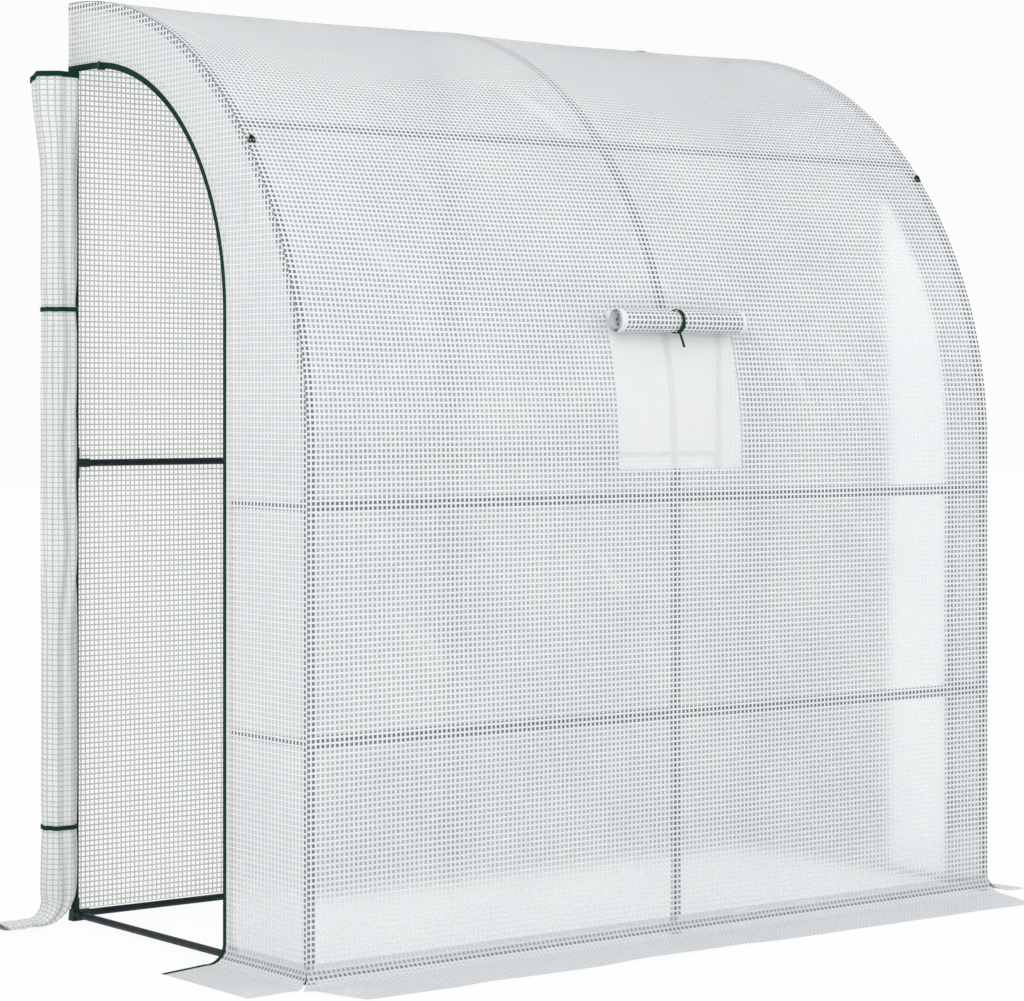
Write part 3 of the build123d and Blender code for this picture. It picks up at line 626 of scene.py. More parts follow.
def clothGrid(name, columns, rows, place, facing=None):
    # a grid whose points and UVs, in metres, come from place(across, along)
    cloth = addShape(bpy.ops.mesh.primitive_grid_add, x_subdivisions=columns, y_subdivisions=rows,
                     size=2, calc_uvs=True)
    cloth.name = name
    cloth.data.name = name
    mesh = cloth.data
    spots = []
    laid = []
    for vertex in mesh.vertices:
        point, uv = place((vertex.co.x + 1) / 2, (vertex.co.y + 1) / 2)
        spots.append(point)
        laid.append(uv)
    mesh.vertices.foreach_set("co", np.array(spots, dtype=np.float32).ravel())
    corners = np.empty(len(mesh.loops), dtype=np.int32)
    mesh.loops.foreach_get("vertex_index", corners)
    flat = np.array(laid, dtype=np.float32)[corners]
    mesh.uv_layers.active.data.foreach_set("uv", flat.ravel())
    mesh.update()
    if facing is not None:
        turned = sum((face.normal * face.area for face in mesh.polygons), Vector())
        if turned.dot(Vector(facing)) < 0:
            editAll(cloth, bpy.ops.mesh.flip_normals)
    bpy.ops.object.shade_smooth()
    return cloth


def applyModifier(piece, kind, **settings):
    pick(piece)
    made = piece.modifiers.new(kind.lower(), kind)
    for key, value in settings.items():
        setattr(made, key, value)
    bpy.ops.object.modifier_apply(modifier=made.name)


def joinPieces(pieces, name):
    bpy.ops.object.select_all(action="DESELECT")
    for piece in pieces:
        piece.select_set(True)
    bpy.context.view_layer.objects.active = pieces[0]
    if len(pieces) > 1:
        bpy.ops.object.join()
    joined = bpy.context.object
    joined.name = name
    joined.data.name = name
    return joined


def settle(piece, finish, body, replaced=()):
    # place into the mesh, finish, slot, body and the nodes it stands for
    pick(piece)
    bpy.ops.object.transform_apply(location=True, rotation=True, scale=True)
    dress(piece, finish)
    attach(piece, body)
    if replaced:
        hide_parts(*replaced)
    return piece


def addThreads(sheet, finish, lift, body):
    # a copy of the sheet just off its face that carries the threads
    pick(sheet)
    bpy.ops.object.duplicate()
    threads = bpy.context.object
    threads.name = sheet.name + "Threads"
    threads.data.name = threads.name
    places = [vertex.co + vertex.normal * lift for vertex in threads.data.vertices]
    for vertex, place in zip(threads.data.vertices, places):
        vertex.co = place
    return settle(threads, finish, body)


def makeKnot(rings, radius, place, depth, grain, scale=None, tall=1.0):
    knot = addShape(bpy.ops.mesh.primitive_uv_sphere_add, segments=rings[0], ring_count=rings[1],
                    radius=radius, location=place)
    if scale:
        knot.scale = scale
        bpy.ops.object.transform_apply(location=True, scale=True)
    for vertex in knot.data.vertices:
        vertex.co += vertex.normal * depth * wave(*(vertex.co * grain))
        vertex.co.z *= tall
    return knot


# cover lines


def coverLine(distance, offset):
    # point (y, z) and outward normal of the cover's section, by length from the front wall's foot
    wall = house["spring"] - house["wallFoot"]
    lowTurn = math.pi / 2 - house["purlinTurn"]
    lowArc = (house["lowerRadius"] + coverOffset) * lowTurn
    highArc = (house["upperRadius"] + coverOffset) * house["purlinTurn"]
    if distance <= wall:
        return house["frontY"] - offset, house["wallFoot"] + distance, -1.0, 0.0
    distance -= wall
    if distance <= lowArc:
        turn = math.pi - distance / (house["lowerRadius"] + coverOffset)
        centre, radius = house["lowerCentre"], house["lowerRadius"] + offset
    elif distance - lowArc <= highArc:
        run = (distance - lowArc) / (house["upperRadius"] + coverOffset)
        turn = math.pi / 2 + house["purlinTurn"] - run
        centre, radius = house["upperCentre"], house["upperRadius"] + offset
    else:
        return distance - lowArc - highArc, house["ridge"] + offset, 0.0, 1.0
    side, rise = math.cos(turn), math.sin(turn)
    return centre[0] + radius * side, centre[1] + radius * rise, side, rise


cover = {
    "columns": (50, 22, 50),
    "rows": (61, 21, 78),
    "window": (0.183, 1.0128, 1.3568),     # half width, lower and upper edge along the section
    "windowX": 0.015,
    "length": 2.65775,
    "supports": (0.0, 0.4568, 0.9478, 1.83165, 2.6457),
    "sag": (0.0025, 0.0025, 0.010, 0.014),
    "ripple": 0.0014,
    "rippleReach": 0.14,       # how far from a tube the ripples fade
    "billow": 0.0022,
}


def slack(x, distance):
    # how far the sheet hangs in from the line of the arches
    bay = min(1.0, abs(x) / house["tubeX"])
    across = max(0.0, math.sin(math.pi * bay))
    rails = cover["supports"]
    span = 0
    while span < len(rails) - 2 and distance > rails[span + 1]:
        span += 1
    share = (distance - rails[span]) / (rails[span + 1] - rails[span])
    between = max(0.0, math.sin(math.pi * min(1.0, max(0.0, share))))
    hang = cover["sag"][span] * across ** 0.8 * between
    loose = min(1.0, 2.5 * across * between)
    billow = cover["billow"] * wave(x * 4.0 + 7, distance * 3.4) * loose
    near = min(abs(x), abs(abs(x) - house["tubeX"]))
    pulled = math.sin(distance * 42 + 3 * wave(x * 2, distance * 2, 4.0))
    pulled *= math.exp(-near / cover["rippleReach"])
    return hang + billow + cover["ripple"] * pulled * loose


def coverPlace(x, distance, offset):
    y, z, normalY, normalZ = coverLine(distance, offset)
    hang = slack(x, distance)
    return (x, y - hang * normalY, z - hang * normalZ)


def stepped(share, counts, edges):
    # maps 0..1 to lengths so that grid lines fall on the given edges
    total = sum(counts)
    step = share * total
    for count, low, high in zip(counts, edges, edges[1:]):
        if step <= count + 1e-6:
            return lerp(low, high, step / count)
        step -= count
    return edges[-1]


def makeCover():
    half, sill, top = cover["window"]
    middleX = cover["windowX"]
    across = (-house["endX"], middleX - half, middleX + half, house["endX"])
    along = (0.0, sill, top, cover["length"])

    def place(s, t):
        x = stepped(s, cover["columns"], across)
        distance = stepped(t, cover["rows"], along)
        return coverPlace(x, distance, coverOffset), (x, distance)

    columns, rows = sum(cover["columns"]), sum(cover["rows"])
    sheet = clothGrid("coverSheet", columns, rows, place, (0, -1, 1))
    lowZ = coverLine(sill, coverOffset)[1]
    highZ = coverLine(top, coverOffset)[1]
    deleteFaces(sheet, lambda spot: abs(spot.x - middleX) < half and lowZ < spot.z < highZ
                and spot.y < house["frontY"] / 2)
    threads = addThreads(sheet, "coverThreads", threadLift, "greenhouse")
    settle(sheet, "cover", "greenhouse", ["front_and_roof_sheet"])


net = {"margin": 0.014, "columns": 30, "rows": 28, "offset": 0.0098}


def makeNet():
    half, sill, top = cover["window"]
    wide = half + net["margin"]
    low, high = sill - net["margin"], top + net["margin"]

    def place(s, t):
        x = cover["windowX"] + lerp(-wide, wide, s)
        distance = lerp(low, high, t)
        return coverPlace(x, distance, net["offset"]), (x, distance)

    mesh = clothGrid("windowNet", net["columns"], net["rows"], place, (0, -1, 0))
    settle(mesh, "net", "greenhouse", ["window_net"])


rear = {"foot": 0.024, "top": 2.1302, "y": 0.0110, "puff": 0.004, "calm": 0.12, "ease": 0.2,
        "columns": 96, "rows": 100}


def makeRear():
    def place(s, t):
        x = lerp(-house["endX"], house["endX"], s)
        z = lerp(rear["foot"], rear["top"], t)
        calm = smooth((rear["top"] - rear["calm"] - z) / rear["ease"])
        calm *= smooth((z - rear["foot"]) / rear["ease"])
        calm *= smooth(abs(x) / rear["calm"]) * smooth((house["tubeX"] - abs(x)) / rear["calm"])
        puff = rear["puff"] * abs(wave(x * 2.6, z * 2.1, 9.0)) * calm
        return (x, rear["y"] + puff, z), (x, z)

    sheet = clothGrid("rearSheet", rear["columns"], rear["rows"], place, (0, 1, 0))
    threads = addThreads(sheet, "rearThreads", -threadLift, "greenhouse")
    settle(sheet, "rear", "greenhouse", ["rear_sheet"])


def doorRuns(side, grow):
    # lengths of the doorway's edge: up its front side, round the corner, back to the rear
    corner = doors[side]["corner"] + grow
    up = house["doorHead"] + grow - corner - house["wallFoot"]
    back = house["doorRear"] + doors[side]["front"] + grow - corner
    return up, corner * math.pi / 2, back


def doorLine(side, grow, share):
    # the doorway's edge, from the foot of its front side up and back to the rear, grown outwards
    front = -doors[side]["front"] - grow
    head = house["doorHead"] + grow
    corner = doors[side]["corner"] + grow
    up, arc, back = doorRuns(side, grow)
    run = share * (up + arc + back)
    if run <= up:
        return front, house["wallFoot"] + run
    if run <= up + arc:
        turn = (run - up) / corner
        return front + corner - corner * math.cos(turn), head - corner + corner * math.sin(turn)
    return front + corner + run - up - arc, head


def doorLength(side):
    return sum(doorRuns(side, 0.0))


endPanel = {
    "columns": 260,
    "rows": 30,
    "x": 1.0040,
    "edge": 0.0102,
    "ridgeCut": 0.0116,    # the end of the cover's line that the panel leaves out
    "puff": 0.0014,
    "hem": (0.0124, 0.0285),
    "hemX": 1.0053,
    "groundTube": 0.015,
    "strip": {"left": 0.40, "right": 0.30},
    "stripLength": 2.66,
}


def tubeReach(y, z):
    # how far a point of an end wall is from the middle of the nearest tube behind it
    heights = (house["lowRail"], house["midRail"], endPanel["groundTube"])
    rails = min(abs(z - height) for height in heights)
    if z < house["spring"]:
        return min(rails, abs(y - house["frontY"]))
    lowY, lowZ = house["lowerCentre"]
    over = z - house["upperCentre"][1]
    if math.atan2(-y, over) > house["purlinTurn"]:
        return abs(math.hypot(y - lowY, z - lowZ) - house["lowerRadius"])
    return abs(math.hypot(y, over) - house["upperRadius"])


def makeEndPanel(side):
    way = doors[side]["way"]
    outerLength = cover["length"] - endPanel["ridgeCut"] + endPanel["edge"]

    def place(s, t):
        inner = doorLine(side, 0.0, s)
        outer = coverLine(s * outerLength, endPanel["edge"])
        y = lerp(inner[0], outer[0], t)
        z = lerp(inner[1], outer[1], t)
        puff = endPanel["puff"] * abs(wave(y * 5, z * 4, way)) * math.sin(math.pi * t)
        return (way * (endPanel["x"] + puff), y, z), (y, z)

    columns, facing = endPanel["columns"], (way, 0, 0)
    panel = clothGrid("endPanel" + side.title(), columns, endPanel["rows"], place, facing)
    reach = panel.data.attributes.new("tubeReach", "FLOAT", "POINT")
    reach.data.foreach_set("value", [tubeReach(v.co.y, v.co.z) for v in panel.data.vertices])
    threads = addThreads(panel, "endThreads", threadLift, "greenhouse")
    settle(panel, "end", "greenhouse", ["end_panel_" + side])
    low, high = endPanel["hem"]

    def placeHem(s, t):
        y, z = doorLine(side, lerp(low, high, t), s)
        lift = 0.0006 * math.sin(math.pi * t) + 0.0003 * wave(s * 60, t)
        return (way * (endPanel["hemX"] + lift), y, z), (y, z)

    hem = clothGrid("endPanelHem" + side.title(), columns, 4, placeHem, facing)
    settle(hem, "hem", "greenhouse")


skirts = {
    "bend": 0.040,
    "rest": 0.0012,
    "mitre": 0.86,         # how far neighbouring skirts close the corner
    "lift": 0.007,
    "front": {"width": 0.205, "notch": 0.078, "lap": 0.046, "tipLeft": 0.010, "tipRight": 0.056},
    "left": {"width": 0.176, "splay": 0.036, "lap": 0.046, "doorGap": 0.0122},
    "right": {"width": 0.084, "splay": 0.0, "lap": 0.046, "doorGap": 0.0122},
}


def skirtRun(run):
    # how far out and how high a skirt is, by length from the wall
    bend = skirts["bend"]
    arc = bend * math.pi / 2
    if run <= arc:
        turn = run / bend
        return bend * (1 - math.cos(turn)), house["wallFoot"] - bend * math.sin(turn)
    return bend + run - arc, skirts["rest"]


def skirtLength(side):
    return skirts["bend"] * math.pi / 2 + skirts[side]["width"] - skirts["bend"]


def makeFrontSkirt():
    shape = skirts["front"]
    bend = skirts["bend"]
    wallY = house["frontY"] - coverOffset
    length = skirtLength("front")
    end = house["endX"]

    def place(s, t):
        out, z = skirtRun(t * length)
        ease = smooth((out - bend) / 0.06)
        if out <= shape["notch"]:
            share = max(0.0, (out - bend) / (shape["notch"] - bend))
            left = -end - min(skirts["mitre"] * out, shape["lap"])
            right = end - shape["lap"] / 2 * share
        else:
            share = (out - shape["notch"]) / (shape["width"] - shape["notch"])
            left = lerp(-end - shape["lap"], -end + shape["tipLeft"], share)
            right = lerp(end - shape["lap"] / 2, end - shape["tipRight"], share)
        x = lerp(left, right, s)
        lift = skirts["lift"] * max(0.0, wave(x * 4.2, out * 7, 2.0)) * ease
        edge = 0.006 * wave(x * 6.0, 3.0) * smooth((out - 0.1) / 0.1)
        return (x, wallY - out + edge * 0.6, z + lift), (x, t * length)

    skirt = clothGrid("skirtFront", 150, 18, place, (0, 0, 1))
    settle(skirt, "skirt", "greenhouse", ["skirt_front"])


def makeEndSkirt(side):
    shape = skirts[side]
    way = doors[side]["way"]
    bend = skirts["bend"]
    length = skirtLength(side)
    rearY = -doors[side]["front"] - shape["doorGap"]
    frontY = house["frontY"] - endPanel["edge"]

    def place(s, t):
        out, z = skirtRun(t * length)
        share = max(0.0, (out - bend) / (shape["width"] - bend))
        low = frontY - min(skirts["mitre"] * out, shape["lap"])
        high = rearY - shape["splay"] * share
        y = lerp(low, high, s)
        lift = skirts["lift"] * max(0.0, wave(y * 5.5, out * 7, 5.0 * way))
        lift *= smooth(share / 0.4)
        return (way * (endPanel["x"] + out), y, z + lift), (y, t * length)

    skirt = clothGrid("skirt" + side.title(), 40, 18, place, (0, 0, 1))
    settle(skirt, "skirt", "greenhouse", ["skirt_" + side])


makeCover()
makeNet()
makeRear()
for side in doors:
    makeEndPanel(side)
makeFrontSkirt()
for side in doors:
    makeEndSkirt(side)
print("cover, net, end panels and skirts made")


# zips


zipper = {
    "width": 0.012,
    "x": 1.00585,
    "thick": 0.0009,
    "groundZ": 0.0022,
    "groundIn": 0.0012,
    "toothPitch": 0.0034,
    "toothSize": (0.0026, 0.0021, 0.0030),
    "toothBevel": 0.0006,
    "toothIn": 0.0011,     # from the doorway's edge into the opening
    "toothSink": 0.0024,
}


def zipRun(side, share, grow):
    # the tape's line: down the doorway's edge, round the skirt's bend and out over the ground
    way = doors[side]["way"]
    bend = skirts["bend"]
    door = doorLength(side)
    arc = bend * math.pi / 2
    flat = skirts[side]["width"] - bend
    run = share * (door + arc + flat)
    if run <= door:
        y, z = doorLine(side, grow, 1 - run / door)
        return Vector((way * zipper["x"], y, z)), run
    y = -doors[side]["front"] - grow
    out, z = skirtRun(run - door)
    if run <= door + arc:
        return Vector((way * (zipper["x"] + out), y, z)), run
    drift = skirts[side]["splay"] * (out - bend) / flat
    x = zipper["x"] - zipper["groundIn"] + out
    return Vector((way * x, y - drift, zipper["groundZ"])), run


def makeZip(side):
    way = doors[side]["way"]

    def place(s, t):
        point, run = zipRun(side, s, zipper["width"] * t)
        return point, (run, zipper["width"] * t)

    tape = clothGrid("zipTape" + side.title(), 260, 4, place, (way, 0, 0))
    applyModifier(tape, "SOLIDIFY", thickness=zipper["thick"], offset=-1.0)
    settle(tape, "green", "greenhouse", ["zip_tape_" + side])

    tooth = addShape(bpy.ops.mesh.primitive_cube_add, size=1)
    tooth.scale = zipper["toothSize"]
    bpy.ops.object.transform_apply(scale=True)
    editAll(tooth, bpy.ops.mesh.bevel, offset=zipper["toothBevel"], segments=1)
    shape = [vertex.co.copy() for vertex in tooth.data.vertices]
    sides = [list(face.vertices) for face in tooth.data.polygons]
    bpy.data.objects.remove(tooth)
    count = int(doorLength(side) / zipper["toothPitch"])
    middleX = way * (zipper["x"] - zipper["toothSink"])
    points = []
    faces = []
    for number in range(count):
        share = (number + 0.5) / count
        y, z = doorLine(side, -zipper["toothIn"], share)
        aheadY, aheadZ = doorLine(side, -zipper["toothIn"], min(1.0, share + 0.001))
        turn = Matrix.Rotation(math.atan2(aheadZ - z, aheadY - y), 3, "X")
        first = len(points)
        for co in shape:
            spot = turn @ Vector((co.z, co.y, co.x))
            points.append((middleX + spot.x, y + spot.y, z + spot.z))
        faces += [[first + corner for corner in face] for face in sides]
    mesh = bpy.data.meshes.new("zipTeeth" + side.title())
    mesh.from_pydata(points, [], faces)
    teeth = bpy.data.objects.new(mesh.name, mesh)
    scene.collection.objects.link(teeth)
    editAll(teeth, bpy.ops.mesh.normals_make_consistent, inside=False)
    settle(teeth, "zip", "greenhouse")


for side in doors:
    makeZip(side)
print("zips made")


# window flap, rolled up and tied


roll = {
    "turn": math.radians(74.6004),
    "middle": (-0.97691, 1.38808),
    "radius": 0.0262,
    "pitch": 0.0018,
    "turns": 4.75,
    "middleX": 0.015,
    "halfWidth": 0.186,
    "strip": 0.030,
    "hem": 0.013,
    "tieX": 0.008,
    "tieReach": 0.03,
    "pinch": 0.0022,
    "ease": 0.62,          # more rows on the inner turns
}


def rollPoint(x, out, up):
    side, rise = math.sin(roll["turn"]), math.cos(roll["turn"])
    y = roll["middle"][0] - out * side + up * rise
    z = roll["middle"][1] + out * rise + up * side
    return (x, y, z)


def rollRound(x, radius, angle):
    return rollPoint(x, radius * math.cos(angle), radius * math.sin(angle))


def rollLength():
    steps = 400
    total = roll["strip"]
    for step in range(steps):
        turn = roll["turns"] * math.tau * (step + 0.5) / steps
        radius = roll["radius"] - roll["pitch"] * turn / math.tau
        total += radius * roll["turns"] * math.tau / steps
    return total


def makeFlap():
    length = rollLength()
    stripShare = roll["strip"] / length

    def place(s, t):
        across = lerp(-roll["halfWidth"], roll["halfWidth"], s)
        x = roll["middleX"] + across
        pinch = roll["pinch"] * math.exp(-((x - roll["tieX"]) / roll["tieReach"]) ** 2)
        if t <= stripShare:
            up = roll["strip"] * (1 - t / stripShare)
            return rollPoint(x, -roll["radius"], up), (x, t * length)
        share = (t - stripShare) / (1 - stripShare)
        eased = (1 - math.sqrt(1 - roll["ease"] * share)) / (1 - math.sqrt(1 - roll["ease"]))
        turn = roll["turns"] * math.tau * eased
        loose = 0.0005 * wave(x * 14, turn * 0.5, 1.0) * smooth(share * 6)
        radius = roll["radius"] - roll["pitch"] * turn / math.tau + loose - pinch * (1 - share)
        slip = 0.003 * wave(turn * 0.7, 2.0) * (across / roll["halfWidth"]) ** 3
        return rollRound(x + slip, radius, math.pi + turn), (x, t * length)

    flap = clothGrid("windowFlapRoll", 58, 210, place)
    settle(flap, "flap", "window_flap", ["window_flap"])
    flap.data.materials.append(finishes["rim"])
    for face in flap.data.polygons:
        hemmed = abs(face.center.x - roll["middleX"]) > roll["halfWidth"] - roll["hem"]
        face.material_index = 1 if hemmed else 0
    print("window flap length", round(length, 3))


windowTie = {"radius": 0.0270, "width": 0.0105, "open": math.radians(28), "thick": 0.0011,
             "tailWidth": 0.0062, "tailX": 0.006, "drop": 0.036, "knot": 0.0044}


def makeWindowTie():
    def place(s, t):
        angle = math.pi + windowTie["open"] + s * (math.tau - 2 * windowTie["open"])
        narrow = 1 - 0.35 * math.exp(-((angle - math.tau) / 0.5) ** 2)
        x = roll["tieX"] + (t - 0.5) * windowTie["width"] * narrow
        radius = windowTie["radius"] + 0.0004 * wave(s * 20, t * 3)
        return rollRound(x, radius, angle), (s * 0.15, t * 0.02)

    def placeTail(s, t):
        x = roll["tieX"] - windowTie["tailX"] + (s - 0.5) * windowTie["tailWidth"] + 0.010 * t
        out = lerp(0.010, 0.006, t) + 0.001 * math.sin(t * 3.0)
        drop = windowTie["drop"] * t
        return rollPoint(x, out, -windowTie["radius"] - drop), (s * 0.01, drop)

    parts = [clothGrid("windowTieBand", 60, 5, place), clothGrid("windowTieTail", 3, 12, placeTail)]
    spot = rollPoint(roll["tieX"] - 0.005, 0.0095, -windowTie["radius"] - 0.001)
    knot = makeKnot((20, 12), windowTie["knot"], spot, 0.0006, 260, scale=(1.25, 0.8, 0.8))
    for piece in parts:
        applyModifier(piece, "SOLIDIFY", thickness=windowTie["thick"], offset=0.0)
    tie = joinPieces(parts + [knot], "windowTie")
    settle(tie, "green", "window_flap", ["window_tie"])


makeFlap()
makeWindowTie()
print("window flap and tie made")


# left door, rolled and tied beside the rear corner


bundle = {
    "middle": (-1.0546, -0.0284),
    "seam": (-1.0050, 0.0110),
    "top": 1.951,
    "radius": 0.0385,
    "waist": 0.0370,
    "mouth": 0.0115,       # how much wider it is at the top
    "mouthShift": 0.0110,
    "mouthDrop": 0.25,
    "ties": (0.227, 1.418),
    "turns": 3.0,
    "step": 0.0052,
    "folds": 7,
    "foldDepth": 0.0026,
    "bend": 0.064,         # the foot of the leaf bends out over the ground and trails
    "restHeight": 0.0105,
    "trail": 0.084,
    "thin": 0.80,
    "hemTurn": (172, 250),     # degrees round the roll
    "hemProud": 0.0078,
    "hemMouth": 0.0040,
    "hemEnd": 252,
    "bendTop": 0.12,
    "bendRows": 0.3,       # share of the rows that the foot gets
}


def mouthShare(z):
    # 0 below the spread at the top, 1 at the top
    return smooth((z - bundle["top"] + bundle["mouthDrop"]) / bundle["mouthDrop"])


def bundleRadius(z):
    radius = bundle["radius"]
    for tie in bundle["ties"]:
        pull = 1 - smooth((abs(z - tie) - 0.006) / 0.05)
        radius = min(radius, lerp(bundle["radius"], bundle["waist"], pull))
    return radius + bundle["mouth"] * mouthShare(z)


def bundleSpiral(turn, z):
    # radius of the rolled leaf at a turn from the seam, with soft vertical folds
    base = bundleRadius(z) - bundle["step"] * turn / math.tau
    sway = 0.7 * wave(z * 1.3, 3.0) + 0.35 * wave(z * 4.0, 8.0)
    fold = bundle["foldDepth"] * math.cos(bundle["folds"] * (turn + sway))
    return base + fold + 0.0012 * wave(turn * 2.3, z * 5.0, 6.0) - bundle["foldDepth"] * 0.4


def bundlePoint(dx, dy, z):
    # upright above the bend; below it the leaf turns outwards, thins and lies down
    middleX, middleY = bundle["middle"]
    start = bundle["restHeight"] + bundle["bend"]
    if z >= start:
        return (middleX + dx - bundle["mouthShift"] * mouthShare(z), middleY + dy, z)
    run = start - z
    turn = min(math.pi / 2, run / bundle["bend"])
    flat = max(0.0, run - bundle["bend"] * math.pi / 2)
    share = turn / (math.pi / 2)
    thick = 1 - bundle["thin"] * smooth(share)
    wide = 1 + 0.14 * smooth(share) + 0.9 * flat
    x = middleX - bundle["bend"] * (1 - math.cos(turn)) - flat + dx * thick * math.cos(turn)
    lift = start - bundle["bend"] * math.sin(turn) - dx * thick * math.sin(turn)
    crest = 0.004 * max(0.0, wave(dy * 60, z * 30, 2.0)) * share
    return (x, middleY + dy * wide, max(0.0015, lift + crest))


def bundleRound(radius, turn, z):
    return bundlePoint(-radius * math.sin(turn), radius * math.cos(turn), z)


def hemProud(turn, z):
    # how far the free hem stands off the roll
    proud = bundle["hemProud"] + bundle["hemMouth"] * mouthShare(z)
    return proud * smooth((z - 0.02) / 0.08) * smooth((math.degrees(turn) - 190) / 40)


def overHem(turn, z, fade):
    # what lies round the roll goes over the hem and comes back beyond it
    return hemProud(turn, z) * (1 - smooth((math.degrees(turn) - bundle["hemEnd"]) / fade))


def makeBundle():
    reach = abs(bundle["middle"][0] - bundle["seam"][0])
    spiral = bundle["turns"] * math.tau * (bundle["radius"] - bundle["step"] * bundle["turns"] / 2)
    width = reach + spiral
    web = reach / width
    foot = bundle["restHeight"] + bundle["bend"] * (1 - math.pi / 2) - bundle["trail"]
    seamX = bundle["seam"][0] - bundle["middle"][0]
    seamY = bundle["seam"][1] - bundle["middle"][1]

    def place(s, t):
        rows = bundle["bendRows"]
        if t < rows:
            z = lerp(foot, bundle["bendTop"], t / rows)
        else:
            z = lerp(bundle["bendTop"], bundle["top"], (t - rows) / (1 - rows))
        ragged = z + 0.012 * wave(s * 9, 4.0) * smooth(-z / 0.09)
        if s <= web:
            share = s / web
            dy = lerp(seamY - 0.0004, bundleSpiral(0.0, z), smooth(share))
            return bundlePoint(lerp(seamX, 0.0, share), dy, ragged), (s * width, z)
        turn = (s - web) / (1 - web) * bundle["turns"] * math.tau
        return bundleRound(bundleSpiral(turn, z), turn, ragged), (s * width, z)

    leaf = clothGrid("leftDoorRoll", 190, 150, place)
    settle(leaf, "loose", "left_door", ["door_bundle_left", "door_hem_left"])

    def placeHem(s, t):
        # the free edge's folded hem lies on the front of the roll and stands off at its edge
        turn = math.radians(lerp(*bundle["hemTurn"], s))
        z = lerp(0.012, bundle["top"] - 0.002, t)
        radius = bundleSpiral(turn, z) + 0.0010 + hemProud(turn, z)
        return bundleRound(radius, turn, z), (s * 0.06, z)

    hem = clothGrid("leftDoorFreeHem", 24, 140, placeHem)
    settle(hem, "doubled", "left_door")
    print("left door leaf", round(width, 3), "by", round(bundle["top"] - foot, 3))


binding = {"low": 1.9510, "high": 1.9630, "start": 0.95, "end": 5.3, "droop": 0.013,
           "step": 0.0055, "stepTurn": 4.35, "proud": 0.0022, "thick": 0.0018}


def makeBundleBinding():
    # from the outer corner of the leaf round its front, and up a step to the door tape
    def place(s, t):
        turn = lerp(binding["start"], binding["end"], s)
        droop = binding["droop"] * (1 - smooth((turn - binding["start"]) / 0.9))
        high = binding["high"] + binding["step"] * smooth((turn - binding["stepTurn"]) / 0.12)
        z = lerp(binding["low"], high, t) - droop
        top = bundle["top"]
        radius = bundleSpiral(turn, top) + binding["proud"] + overHem(turn, top, 30)
        x, y, _ = bundleRound(radius, turn, top)
        return (x, y, z), (s * 0.24, z)

    band = clothGrid("leftDoorBinding", 120, 6, place)
    applyModifier(band, "SOLIDIFY", thickness=binding["thick"], offset=0.0)
    settle(band, "green", "left_door", ["door_binding_left"])


doorTie = {"width": 0.0100, "gap": 0.0012, "thick": 0.0012, "knot": 0.0052}


def makeDoorTies():
    parts = []
    middleX, middleY = bundle["middle"]
    for height in bundle["ties"]:
        def place(s, t, height=height):
            turn = s * math.tau
            radius = bundleSpiral(turn, height) + doorTie["gap"] + bundle["step"] * s
            radius += overHem(turn, height, 40)
            x, y = middleX - radius * math.sin(turn), middleY + radius * math.cos(turn)
            z = height + (t - 0.5) * doorTie["width"] + 0.0008 * wave(s * 14, 2.0)
            return (x, y, z), (s * 0.24, t * 0.01)

        parts.append(clothGrid("doorTieBand", 90, 4, place))
    for piece in parts:
        applyModifier(piece, "SOLIDIFY", thickness=doorTie["thick"], offset=0.0)
    for height in bundle["ties"]:     # the knot sits behind, at the post
        waist = bundle["waist"]
        spot = (middleX + waist * 0.86, middleY + waist * 0.62, height + 0.001)
        parts.append(makeKnot((20, 12), doorTie["knot"], spot, 0.0007, 240, scale=(1.0, 0.9, 1.15)))
    ties = joinPieces(parts, "leftDoorTies")
    settle(ties, "green", "left_door", ["door_ties_left"])


makeBundle()
makeBundleBinding()
makeDoorTies()
print("left door made")


# right door, drawn part of the way back


leaf = {
    "reach": 0.552,
    "start": 0.0104,
    "bottom": 0.016,
    "folds": 9,
    "seamX": 1.0062,
    "wallX": 1.0060,       # no fold goes further in
    "line": 1.0195,
    "depth": 0.0122,
    "clear": 0.004,
    "flatWidth": 0.640,
    "edgeThick": 0.0014,
}


def leafY(share):
    return lerp(leaf["start"], -leaf["reach"], share)


def leafTop(share, clear):
    door = doors["right"]
    corner = door["corner"] - clear
    before = min(0.0, leafY(share) + door["front"] - door["corner"])
    rise = math.sqrt(max(0.0, corner ** 2 - before ** 2))
    return house["doorHead"] - door["corner"] + rise


def leafPoint(share, z, proud):
    sway = 0.05 * wave(z * 1.1, share * 3.0, 12.0)
    body = smooth(share / 0.08)
    fold = -math.cos(math.pi * leaf["folds"] * share + sway * 6) * leaf["depth"]
    fold *= 0.75 + 0.25 * wave(share * 5, z * 1.4, 3.0)
    x = lerp(leaf["seamX"], leaf["line"] + fold, body) + proud
    return (max(leaf["wallX"] + proud, x), leafY(share), z)


